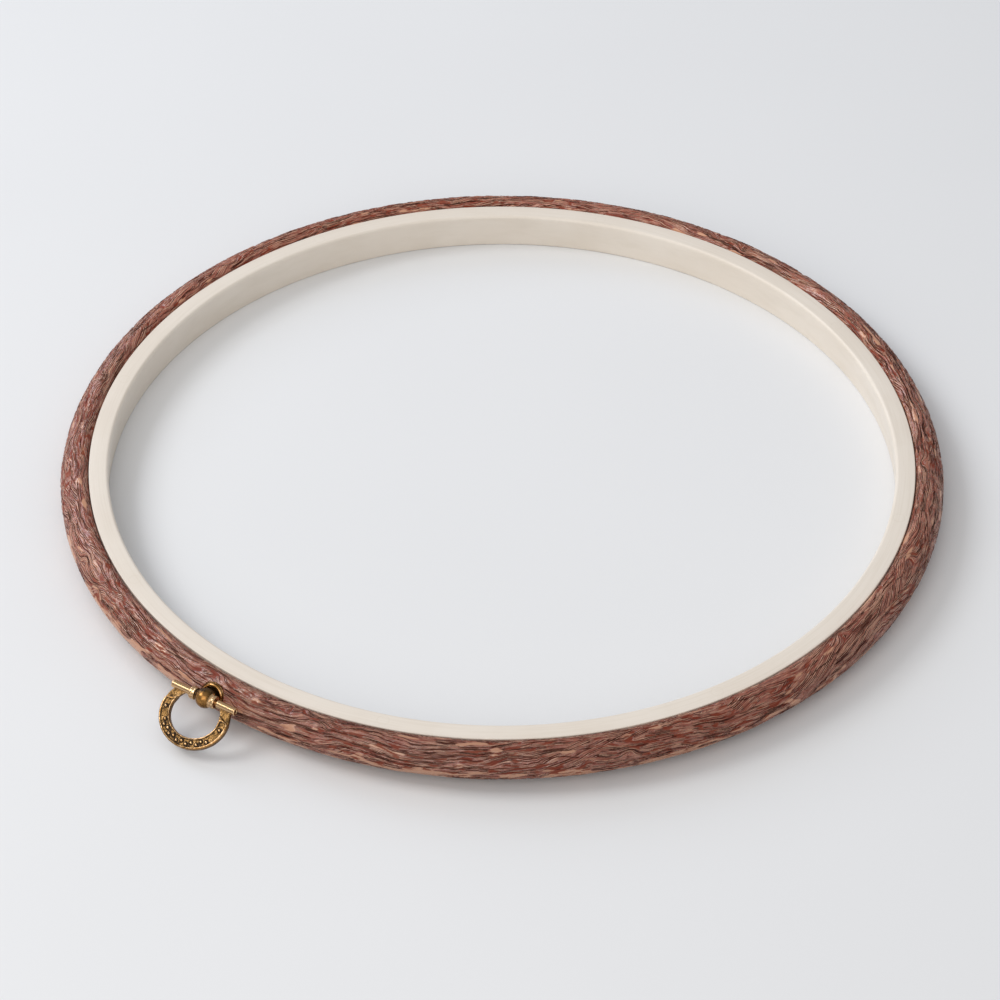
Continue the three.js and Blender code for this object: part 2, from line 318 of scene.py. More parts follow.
def turned(
    profile: Sequence[tuple[float, float]],
    sides: int,
    radius: Callable[[np.ndarray, np.ndarray, np.ndarray], np.ndarray] | None = None,
) -> bpy.types.Mesh:
    """Turns a closed profile, or one that starts and ends on the axis, about +Z.

    Args:
        profile: Points (radius, height), counter-clockwise.
        sides: Steps round the axis.
        radius: Optional change of radius, from radius, height and angle.

    Returns:
        The closed mesh.
    """
    points = np.array(profile, float)
    angle = np.arange(sides) * TURN / sides
    reach = np.repeat(points[:, 0][None], sides, 0)
    height = np.repeat(points[:, 1][None], sides, 0)
    around = np.repeat(angle[:, None], len(points), 1)
    if radius is not None:
        reach = radius(reach, height, around)
    places = np.stack([reach * np.cos(around), reach * np.sin(around), height], -1)
    count = len(points)
    wrap = count if points[0, 0] > 0 else count - 1
    i, j = np.meshgrid(np.arange(sides), np.arange(wrap), indexing="ij")
    over = (i + 1) % sides
    up = (j + 1) % count
    faces = np.stack([i * count + j, over * count + j, over * count + up, i * count + up], -1)
    mesh = mesh_of("turned", places.reshape(-1, 3), faces.reshape(-1, 4))
    if points[0, 0] <= 0:
        merge_doubles(mesh)
        mesh.shade_smooth()
    return mesh


def bow(
    x: float, y: float, radius: float, start: float, end: float, steps: int = 6
) -> list[tuple[float, float]]:
    """Points on an arc.

    Args:
        x: Centre, across.
        y: Centre, up.
        radius: Radius of the arc.
        start: First angle in degrees.
        end: Last angle in degrees.
        steps: Steps along it.

    Returns:
        The points, both ends included.
    """
    angles = [math.radians(start + (end - start) * i / steps) for i in range(steps + 1)]
    return [(x + radius * math.cos(a), y + radius * math.sin(a)) for a in angles]


def rod(
    radius: float, bottom: float, top: float, edge: float, sides: int = 64
) -> bpy.types.Mesh:
    """Makes a rod about +Z with rounded ends.

    Args:
        radius: Its radius.
        bottom: Height of its lower end.
        top: Height of its upper end.
        edge: Rounding of its ends.
        sides: Steps round it.

    Returns:
        The closed mesh.
    """
    profile = [(0.0, bottom)]
    profile += bow(radius - edge, bottom + edge, edge, -90, 0)
    profile += bow(radius - edge, top - edge, edge, 0, 90)
    profile += [(0.0, top)]
    return turned(profile, sides)


def spun(mesh: bpy.types.Mesh, matrix: Matrix) -> bpy.types.Mesh:
    """Moves a mesh by a matrix and returns it."""
    mesh.transform(matrix)
    return mesh


def remeshed(mesh: bpy.types.Mesh, grain: float) -> bpy.types.Mesh:
    """Gives a heap of overlapping closed shapes one even skin.

    Args:
        mesh: The heap, which is used up.
        grain: Size of the new faces.

    Returns:
        The new mesh.
    """
    return evaluated(mesh, "REMESH", mode="VOXEL", voxel_size=grain, use_smooth_shade=True)


class Neighbours:
    """Which corners of a mesh share an edge, for evening out its surface."""

    def __init__(self, mesh: bpy.types.Mesh) -> None:
        """Reads the mesh's edges.

        Args:
            mesh: The mesh.
        """
        flat = np.empty(len(mesh.edges) * 2, np.int32)
        mesh.edges.foreach_get("vertices", flat)
        self.ends = flat.reshape(-1, 2)
        self.size = len(mesh.vertices)
        self.count = np.bincount(flat, minlength=self.size).clip(1)

    def mean(self, values: np.ndarray) -> np.ndarray:
        """Averages each corner's neighbours.

        Args:
            values: One row for each corner.

        Returns:
            The averages, in the same rows.
        """
        a, b = self.ends.T
        sums = [
            np.bincount(a, column[b], self.size) + np.bincount(b, column[a], self.size)
            for column in values.T
        ]
        return np.stack(sums, -1) / self.count[:, None]

    def evened(self, values: np.ndarray, rounds: int, keep: bool = False) -> np.ndarray:
        """Evens values out over the surface.

        Args:
            values: One row for each corner.
            rounds: How often.
            keep: Whether each step is followed by one back, so that size is kept.

        Returns:
            The evened values.
        """
        for _ in range(rounds):
            values = values + 0.5 * (self.mean(values) - values)
            if keep:
                values = values - 0.53 * (self.mean(values) - values)
        return values


def roughened(mesh: bpy.types.Mesh, depths: object, grains: Sequence[float], seed: int) -> None:
    """Gives a casting the slight unevenness that sand leaves.

    Args:
        mesh: The casting, which is changed.
        depths: Depth of the unevenness, one for all corners or one each.
        grains: Size of its coarse grain and of its fine one, and the fine one's share.
        seed: Start of the random draws.
    """
    coarse, fine, share = grains
    points = points_of(mesh)
    grit = Lattice(seed).at(points / coarse) + share * Lattice(seed + 1).at(points / fine)
    move_points(mesh, points + normals_of(mesh) * (grit * depths)[:, None])


def hollows(mesh: bpy.types.Mesh, rounds: int, scale: float) -> np.ndarray:
    """Finds where a surface is sunk and where it stands out.

    Args:
        mesh: The mesh.
        rounds: How far round each corner it looks, in steps of an edge.
        scale: Depth in millimetres that counts as fully sunk.

    Returns:
        For each corner, 1 where it is sunk, 0.5 on the flat and 0 on an edge.
    """
    points = points_of(mesh)
    even = Neighbours(mesh).evened(points, rounds)
    depth = np.einsum("ij,ij->i", even - points, normals_of(mesh))
    return np.clip(0.5 + 0.5 * depth / scale, 0, 1)


# Finishes


class Recipe:
    """A material while it is mixed, with short ways to add nodes and join them."""

    def __init__(self, name: str) -> None:
        """Starts a material.

        Args:
            name: Its name.
        """
        self.material = bpy.data.materials.new(name)
        self.material.use_nodes = True
        self.tree = self.material.node_tree
        self.surface = self.tree.nodes["Principled BSDF"]

    def feed(self, socket: bpy.types.NodeSocket, value: object) -> None:
        """Joins a socket to another, or sets it.

        Args:
            socket: The input.
            value: Another node's output, or a plain value.
        """
        if isinstance(value, bpy.types.NodeSocket):
            self.tree.links.new(value, socket)
        else:
            socket.default_value = value

    def add(self, kind: str, inputs: dict[object, object], **settings: object) -> bpy.types.Node:
        """Adds a node.

        Args:
            kind: The node's kind, without its prefix.
            inputs: Values or outputs for its inputs, by name or number.
            **settings: Its settings.

        Returns:
            The node.
        """
        node = self.tree.nodes.new("ShaderNode" + kind)
        for name, value in settings.items():
            setattr(node, name, value)
        for name, value in inputs.items():
            self.feed(node.inputs[name], value)
        return node

    def field(self, name: str) -> bpy.types.NodeSocket:
        """Reads a number stored at the mesh's corners."""
        return self.add("Attribute", {}, attribute_name=name).outputs["Fac"]

    def space(self, name: str) -> bpy.types.NodeSocket:
        """Reads a vector stored at the mesh's corners."""
        return self.add("Attribute", {}, attribute_name=name).outputs["Vector"]

    def place(self) -> bpy.types.NodeSocket:
        """Reads the place on the piece, in metres."""
        return self.add("TexCoord", {}).outputs["Object"]

    def noise(
        self, where: bpy.types.NodeSocket, scale: float, detail: float = 3, rough: float = 0.5
    ) -> bpy.types.NodeSocket:
        """Adds noise.

        Args:
            where: The place that it reads.
            scale: Its scale.
            detail: How many finer layers it has.
            rough: How strong the finer layers are.

        Returns:
            Numbers round 0.5.
        """
        inputs = {"Vector": where, "Scale": scale, "Detail": detail, "Roughness": rough}
        return self.add("TexNoise", inputs).outputs[0]

    def span(
        self, value: object, low: float, high: float, start: float = 0, end: float = 1
    ) -> bpy.types.NodeSocket:
        """Maps one span of numbers to another.

        Args:
            value: The number.
            low: Start of its span.
            high: End of its span.
            start: What the start becomes.
            end: What the end becomes.

        Returns:
            The mapped number.
        """
        inputs = {0: value, 1: low, 2: high, 3: start, 4: end}
        return self.add("MapRange", inputs, interpolation_type="SMOOTHSTEP").outputs[0]

    def sum(self, how: str, first: object, second: object) -> bpy.types.NodeSocket:
        """Does arithmetic on two numbers.

        Args:
            how: The operation.
            first: One number.
            second: The other.

        Returns:
            The result.
        """
        return self.add("Math", {0: first, 1: second}, operation=how).outputs[0]

    def blend(self, share: object, first: object, second: object) -> bpy.types.NodeSocket:
        """Mixes two colours.

        Args:
            share: How much of the second.
            first: One colour.
            second: The other.

        Returns:
            The mixed colour.
        """
        inputs = {0: share, 6: first, 7: second}
        return self.add("Mix", inputs, data_type="RGBA").outputs[2]

    def relief(self, height: object, depth: float, strength: object = 1.0) -> None:
        """Roughens the surface.

        Args:
            height: Height from 0 to 1.
            depth: What a height of 1 stands for, in metres.
            strength: How much of it shows.
        """
        inputs = {"Height": height, "Distance": depth, "Strength": strength}
        bump = self.add("Bump", inputs).outputs["Normal"]
        self.feed(self.surface.inputs["Normal"], bump)

    def give(self, **values: object) -> None:
        """Sets inputs of the surface, with _ for a space in their names."""
        for name, value in values.items():
            self.feed(self.surface.inputs[name.replace("_", " ")], value)


class Finish(ABC):
    """A finish that can be mixed into a material."""

    @abstractmethod
    def mixed(self) -> bpy.types.Material:
        """Mixes the finish and returns its material."""


@dataclass(frozen=True)
class CreamPlastic(Finish):
    """Satin cream plastic with faint flow marks and the round marks of the mould's pins."""

    body: str = "#e4dbcf"
    warm: str = "#e1d7ca"
    streak: str = "#d3c8b8"
    mark: str = "#cfc3b0"
    marks: int = 8
    mark_radius: float = 1.5
    mark_circle: float = 107.2
    streak_length: float = 40.0
    centre: float = 0.0

    def mixed(self) -> bpy.types.Material:
        """Mixes the finish and returns its material."""
        mix = Recipe("cream plastic")
        place = mix.place()
        cloud = mix.noise(place, 45, 3)
        colour = mix.blend(mix.span(cloud, 0.35, 0.65), paint(self.body), paint(self.warm))
        colour = mix.blend(self.streaks(mix, place), colour, paint(self.streak))
        mark = self.pin_marks(mix, place)
        colour = mix.blend(mix.sum("MULTIPLY", mark, 0.16), colour, paint(self.mark))
        fine = mix.noise(place, 2600, 3, 0.6)
        height = mix.sum("SUBTRACT", fine, mix.sum("MULTIPLY", mark, 0.8))
        mix.relief(height, 0.00003, 0.5)
        mix.give(
            Base_Color=colour,
            Roughness=mix.span(mix.noise(place, 400, 2), 0.3, 0.7, 0.36, 0.46),
            Specular_IOR_Level=0.45,
        )
        return mix.material

    def about_middle(
        self, mix: Recipe, place: bpy.types.NodeSocket
    ) -> tuple[bpy.types.NodeSocket, bpy.types.NodeSocket, bpy.types.NodeSocket]:
        """Finds the place about the hoop's middle.

        Args:
            mix: The material in the making.
            place: The place on the ring.

        Returns:
            The place across, the place along and the distance from the middle.
        """
        apart = mix.add("SeparateXYZ", {0: place}).outputs
        along = mix.sum("SUBTRACT", apart[1], self.centre * METRES)
        squares = [mix.sum("MULTIPLY", value, value) for value in (apart[0], along)]
        return apart[0], along, mix.sum("SQRT", mix.sum("ADD", *squares), 0.0)

    def streaks(self, mix: Recipe, place: bpy.types.NodeSocket) -> bpy.types.NodeSocket:
        """Draws the faint marks that the plastic's flow leaves round the ring.

        Args:
            mix: The material in the making.
            place: The place on the ring.

        Returns:
            The share of the darker streaks.
        """
        across, along, reach = self.about_middle(mix, place)
        rings = mix.sum("MULTIPLY", reach, self.streak_length)
        flow = mix.add("CombineXYZ", {0: across, 1: along, 2: rings}).outputs[0]
        return mix.span(mix.noise(flow, 60, 3, 0.6), 0.42, 0.7, 0, 0.3)

    def pin_marks(self, mix: Recipe, place: bpy.types.NodeSocket) -> bpy.types.NodeSocket:
        """Draws the rims of the round marks that a mould's pins leave.

        Args:
            mix: The material in the making.
            place: The place on the ring.

        Returns:
            1 on a mark's rim and 0 elsewhere.
        """
        across, along, reach = self.about_middle(mix, place)
        turns = mix.sum("MULTIPLY", mix.sum("ARCTAN2", along, across), self.marks / TURN)
        near = mix.sum("SUBTRACT", mix.sum("FRACT", turns, 0.0), 0.5)
        side = mix.sum("MULTIPLY", near, self.mark_circle * METRES * TURN / self.marks)
        out = mix.sum("SUBTRACT", reach, self.mark_circle * METRES)
        squares = [mix.sum("MULTIPLY", value, value) for value in (side, out)]
        reach = mix.sum("SQRT", mix.sum("ADD", *squares), 0.0)
        away = mix.sum("SUBTRACT", reach, self.mark_radius * METRES)
        return mix.span(mix.sum("ABSOLUTE", away, 0.0), 0.00008, 0.0002, 1, 0)


@dataclass(frozen=True)
class BurlVinyl(Finish):
    """Springy vinyl, moulded and wiped with colour to look like burl wood."""

    brown: str = "#944830"
    mauve: str = "#a45f48"
    crest: str = "#d6a285"
    # dark colour between the ridges, also laid as painted shade on the near side
    trough_and_shade: str = "#38120a"
    red: str = "#7c2a10"
    tan: str = "#cd9674"
    crack: str = "#1c0a06"
    plain: str = "#7d4431"

    def mixed(self) -> bpy.types.Material:
        """Mixes the finish and returns its material."""
        mix = Recipe("burl vinyl")
        red, tan, crack, hatch = (mix.field(n) for n in ("red", "tan", "crack", "hatch"))
        slope, near_shade, bare = (mix.field(n) for n in ("slope", "near_shade", "bare"))
        flow, slant = mix.space("flow"), mix.space("slant")
        calm = mix.sum("SUBTRACT", 1.0, mix.sum("MULTIPLY", tan, 0.85))
        patch = self.both(mix, hatch, mix.noise(flow, 0.3, 2), mix.noise(slant, 0.3, 2))
        fine = [mix.noise(space, 0.8, 2, 0.55) for space in (flow, slant)]
        strands = self.both(mix, hatch, *fine)
        threads = self.both(mix, hatch, mix.noise(flow, 1.5, 1), mix.noise(slant, 1.5, 1))
        breaks = self.both(mix, hatch, self.loose(mix, flow, 0.0), self.loose(mix, slant, 0.0))
        gaps = self.both(mix, hatch, self.loose(mix, flow, 31.0), self.loose(mix, slant, 31.0))
        light = self.lines(mix, flow, slant, hatch, slope, 0.0)
        light = mix.sum("SUBTRACT", light, mix.span(breaks, 0.36, 0.64, -0.12, 0.05))
        plain = mix.sum("SUBTRACT", 1.0, mix.sum("MULTIPLY", red, 0.75))
        plain = mix.sum("MULTIPLY", plain, calm)
        plain = mix.sum("MULTIPLY", plain, mix.sum("SUBTRACT", 1.0, bare))
        light = mix.sum("MULTIPLY", mix.span(light, 0.04, 0.1, 1, 0), plain)
        dark = self.lines(mix, flow, slant, hatch, slope, 0.5)
        dark = mix.sum("SUBTRACT", dark, mix.span(gaps, 0.36, 0.64, -0.13, 0.04))
        dark = mix.sum("MULTIPLY", mix.span(dark, 0.04, 0.1, 1, 0), plain)
        colour = mix.blend(mix.span(patch, 0.42, 0.58), paint(self.brown), paint(self.mauve))
        colour = mix.blend(mix.span(strands, 0.5, 0.36, 0, 0.4), colour, paint(self.trough_and_shade))
        colour = mix.blend(mix.span(threads, 0.52, 0.66, 0, 0.5), colour, paint(self.crest))
        colour = mix.blend(mix.sum("MULTIPLY", tan, 0.9), colour, paint(self.tan))
        colour = mix.blend(mix.sum("MULTIPLY", red, 0.85), colour, paint(self.red))
        colour = mix.blend(mix.sum("MULTIPLY", light, 0.75), colour, paint(self.crest))
        colour = mix.blend(mix.sum("MULTIPLY", dark, 0.85), colour, paint(self.trough_and_shade))
        crack = mix.sum("MULTIPLY", crack, calm)
        colour = mix.blend(mix.sum("MULTIPLY", crack, 0.75), colour, paint(self.crack))
        # painted shade: the dark colour darkens the frame towards its near side, which faces the
        # camera
        colour = mix.blend(mix.sum("MULTIPLY", near_shade, 0.3), colour, paint(self.trough_and_shade))
        colour = mix.blend(mix.sum("MULTIPLY", bare, 0.97), colour, paint(self.plain))
        height = mix.sum("ADD", mix.sum("SUBTRACT", light, dark), strands)
        mix.relief(height, 0.0002, mix.sum("MULTIPLY", plain, 0.9))
        low = mix.sum("MAXIMUM", mix.sum("MAXIMUM", dark, crack), mix.sum("MULTIPLY", red, 0.75))
        mix.give(
            Base_Color=colour,
            Roughness=mix.span(low, 0, 1, 0.27, 0.55),
            Specular_IOR_Level=mix.span(low, 0, 1, 0.95, 0.1),
        )
        return mix.material

    def lines(
        self,
        mix: Recipe,
        flow: object,
        slant: object,
        hatch: object,
        slope: object,
        offset: float,
    ) -> bpy.types.NodeSocket:
        """Finds how far the nearest contour line is.

        Args:
            mix: The material in the making.
            flow: Space of the lines along the frame.
            slant: Space of the slanted lines.
            hatch: Share of the slanted lines.
            slope: How steeply the growth map rises.
            offset: Shift of the lines, as a share of their spacing.

        Returns:
            The distance in millimetres.
        """
        found = []
        for space, pitch, rise in ((flow, LINE_PITCH, slope), (slant, HATCH_PITCH, 1.1)):
            height = mix.add("SeparateXYZ", {0: space}).outputs[2]
            turns = mix.sum("MULTIPLY_ADD", height, STRAND / pitch)
            turns.node.inputs[2].default_value = offset
            away = mix.sum("ABSOLUTE", mix.sum("SUBTRACT", mix.sum("FRACT", turns, 0.0), 0.5), 0.0)
            found.append(mix.sum("DIVIDE", mix.sum("MULTIPLY", away, pitch), rise))
        return self.both(mix, hatch, *found)

    @staticmethod
    def loose(mix: Recipe, space: object, shift: float) -> bpy.types.NodeSocket:
        """Adds slow noise that breaks the lines up.

        Args:
            mix: The material in the making.
            space: Space of the lines.
            shift: Where in the noise it is read.

        Returns:
            Numbers round 0.5.
        """
        inputs = {0: space, 1: (0.6, 0.6, 0.4), 2: (shift, 0.0, 0.0)}
        where = mix.add("VectorMath", inputs, operation="MULTIPLY_ADD").outputs[0]
        return mix.noise(where, 1.0, 2, 0.55)

    @staticmethod
    def both(
        mix: Recipe, hatch: object, along: object, across: object
    ) -> bpy.types.NodeSocket:
        """Chooses between the lines along the frame and the slanted ones.

        Args:
            mix: The material in the making.
            hatch: Share of the slanted lines.
            along: Number from the lines along the frame.
            across: Number from the slanted lines.

        Returns:
            The mixed number.
        """
        return mix.add("Mix", {0: hatch, 2: along, 3: across}, data_type="FLOAT").outputs[0]


@dataclass(frozen=True)
class AntiqueBrass(Finish):
    """Cast brass with a dark patina left in its hollows and rubbed off where it is touched, with
    painted shade and a painted dark reflection on the ball and a painted sheen on the barrels and
    collars.
    """

    gold: str = "#a57843"
    bright: str = "#e8c498"
    dull: str = "#715532"
    dark: str = "#20140b"

    def mixed(self) -> bpy.types.Material:
        """Mixes the finish and returns its material."""
        mix = Recipe("antique brass")
        place = mix.place()
        patina_and_shade, wear_and_sheen = mix.field("patina_and_shade"), mix.field("wear_and_sheen")
        kept = mix.span(wear_and_sheen, 0, 1, 1, 0.2)
        cloud = mix.noise(place, 800, 4, 0.65)
        speck = mix.noise(place, 3000, 3, 0.6)
        patchy = mix.sum("MULTIPLY", mix.span(cloud, 0.3, 0.7, -0.3, 0.3), kept)
        # patina in the hollows and, on the ball, painted shade and a painted dark reflection
        shade = mix.sum("ADD", patina_and_shade, patchy)
        shade = mix.sum("SUBTRACT", shade, mix.span(wear_and_sheen, 0, 1, 0, 0.12))
        colour = mix.blend(mix.span(wear_and_sheen, 0, 0.6), paint(self.dull), paint(self.gold))
        # rubbed brass, and the painted sheen of the barrels and collars
        colour = mix.blend(mix.span(wear_and_sheen, 0.6, 1, 0, 0.65), colour, paint(self.bright))
        # the dark colour lays the patina and the painted shade
        colour = mix.blend(mix.span(shade, 0.52, 0.85, 0, 0.9), colour, paint(self.dark))
        colour = mix.blend(mix.span(shade, 0.34, 0.05, 0, 0.5), colour, paint(self.bright))
        grime = mix.sum("MULTIPLY", mix.span(speck, 0.56, 0.7, 0, 0.6), kept)
        colour = mix.blend(grime, colour, paint(self.dark))
        rough = mix.sum("ADD", cloud, mix.sum("MULTIPLY", speck, 0.7))
        mix.relief(rough, 0.00008, mix.sum("MULTIPLY", kept, 0.7))
        mix.give(
            Base_Color=colour,
            Metallic=mix.span(shade, 0.6, 0.9, 1.0, 0.75),
            Roughness=mix.span(shade, 0.3, 0.9, 0.18, 0.5),
        )
        return mix.material


@dataclass(frozen=True)
class PlatedSteel(Finish):
    """Bright zinc plating with fine turning marks."""

    bright: str = "#b9bab8"
    dull: str = "#8d8f90"

    def mixed(self) -> bpy.types.Material:
        """Mixes the finish and returns its material."""
        mix = Recipe("plated steel")
        place = mix.place()
        cloud = mix.noise(place, 700, 3)
        speck = mix.noise(place, 4000, 3, 0.6)
        colour = mix.blend(mix.span(cloud, 0.35, 0.65), paint(self.bright), paint(self.dull))
        mix.relief(speck, 0.00003, 0.5)
        mix.give(
            Base_Color=colour,
            Metallic=1.0,
            Roughness=mix.span(speck, 0.3, 0.7, 0.28, 0.42),
        )
        return mix.material


@dataclass(frozen=True)
class PaleFloor(Finish):
    """A plain pale table top."""

    body: str = "#e4e5e6"
    cloud: str = "#dfe0e1"

    def mixed(self) -> bpy.types.Material:
        """Mixes the finish and returns its material."""
        mix = Recipe("pale floor")
        share = mix.span(mix.noise(mix.place(), 6, 2), 0.3, 0.7, 0, 0.3)
        colour = mix.blend(share, paint(self.body), paint(self.cloud))
        mix.give(Base_Color=colour, Roughness=0.6, Specular_IOR_Level=0.2)
        return mix.material


# Pieces


@dataclass
class Piece:
    """One finished piece, what it stands for and what it rides on."""

    name: str
    nodes: tuple[str, ...]
    body: Body
    slot: Slot

    def stand(self, mesh: bpy.types.Mesh, material: bpy.types.Material, place: Matrix) -> None:
        """Puts the piece where it belongs.

        Args:
            mesh: Its mesh in millimetres, in the sub-assembly's own directions.
            material: Its finish.
            place: Where the sub-assembly is.
        """
        mesh.name = self.name
        mesh.transform(place)
        mesh.materials.clear()
        mesh.materials.append(material)
        made = bpy.data.objects.new(self.name, mesh)
        bpy.context.scene.collection.objects.link(made)
        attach(made, self.body.value)
        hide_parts(*self.nodes)
        log.info("%s: %d faces, on %s", self.name, len(mesh.polygons), self.body.value)


def hoop_place() -> Matrix:
    """Returns where the hoop's middle is on the table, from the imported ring's box."""
    low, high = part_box("inner_ring")
    middle = (low + high) / 2
    return Matrix.Translation((middle.x, middle.y, 0)) @ Matrix.Scale(METRES, 4)


@dataclass
class InnerRing:
    """The rigid ring: a flat rim, a drafted opening and a lip under the frame."""

    wall: float = 110.0
    rim: float = 5.2
    height: float = 10.7
    draft: float = 0.85
    opening_edge: float = 0.9
    wall_edge: float = 0.25
    foot_edge: float = 0.4
    lip: float = 2.0
    lip_height: float = 0.8
    lip_edge: float = 0.25
    lip_root: float = 0.15
    foot_row: float = 3.0
    rim_row: float = 2.2
    wall_rows: tuple[float, ...] = (2.5, 7.5)
    opening_rows: tuple[tuple[float, float], ...] = ((0.3, 7.0), (0.7, 3.4))
    sides: int = 720

    def section(self) -> list[tuple[float, float]]:
        """Draws the ring's section, counter-clockwise.

        Returns:
            Points (radius, height).
        """
        opening = self.wall - self.rim
        foot = opening + self.draft
        lip = self.wall + self.lip
        drawn = bow(foot + self.foot_edge, self.foot_edge, self.foot_edge, 180, 270)
        drawn += [(foot + self.foot_row, 0.0)]
        drawn += bow(lip - self.lip_edge, self.lip_edge, self.lip_edge, -90, 0)
        drawn += bow(lip - self.lip_edge, self.lip_height - self.lip_edge, self.lip_edge, 0, 90)
        root, edge = self.lip_root, self.wall_edge
        drawn += bow(self.wall + root, self.lip_height + root, root, 270, 180, 4)
        drawn += [(self.wall, row) for row in self.wall_rows]
        drawn += bow(self.wall - edge, self.height - edge, edge, 0, 90)
        drawn += [(self.wall - self.rim_row, self.height)]
        drawn += bow(
            opening + self.opening_edge,
            self.height - self.opening_edge,
            self.opening_edge,
            90,
            177,
            12,
        )
        return drawn + [(opening + self.draft * out, row) for out, row in self.opening_rows]

    def build(self) -> bpy.types.Mesh:
        """Builds and returns the ring's mesh."""
        mesh = turned(self.section(), self.sides)
        mesh.set_sharp_from_angle(angle=math.radians(50))
        return mesh

    def dress(self) -> None:
        """Builds the ring, finishes it and puts it in place."""
        piece = Piece("cream_ring", ("inner_ring",), Body.RING, Slot.CREAM)
        place = hoop_place()
        centre = place.translation.y / METRES
        finish = CreamPlastic(mark_circle=self.wall - self.rim / 2, centre=centre)
        piece.stand(self.build(), finish.mixed(), place)


class Grain(NamedTuple):
    """One layer of noise, with its size along the frame and over its section."""

    along: float
    across: float
    layer: int


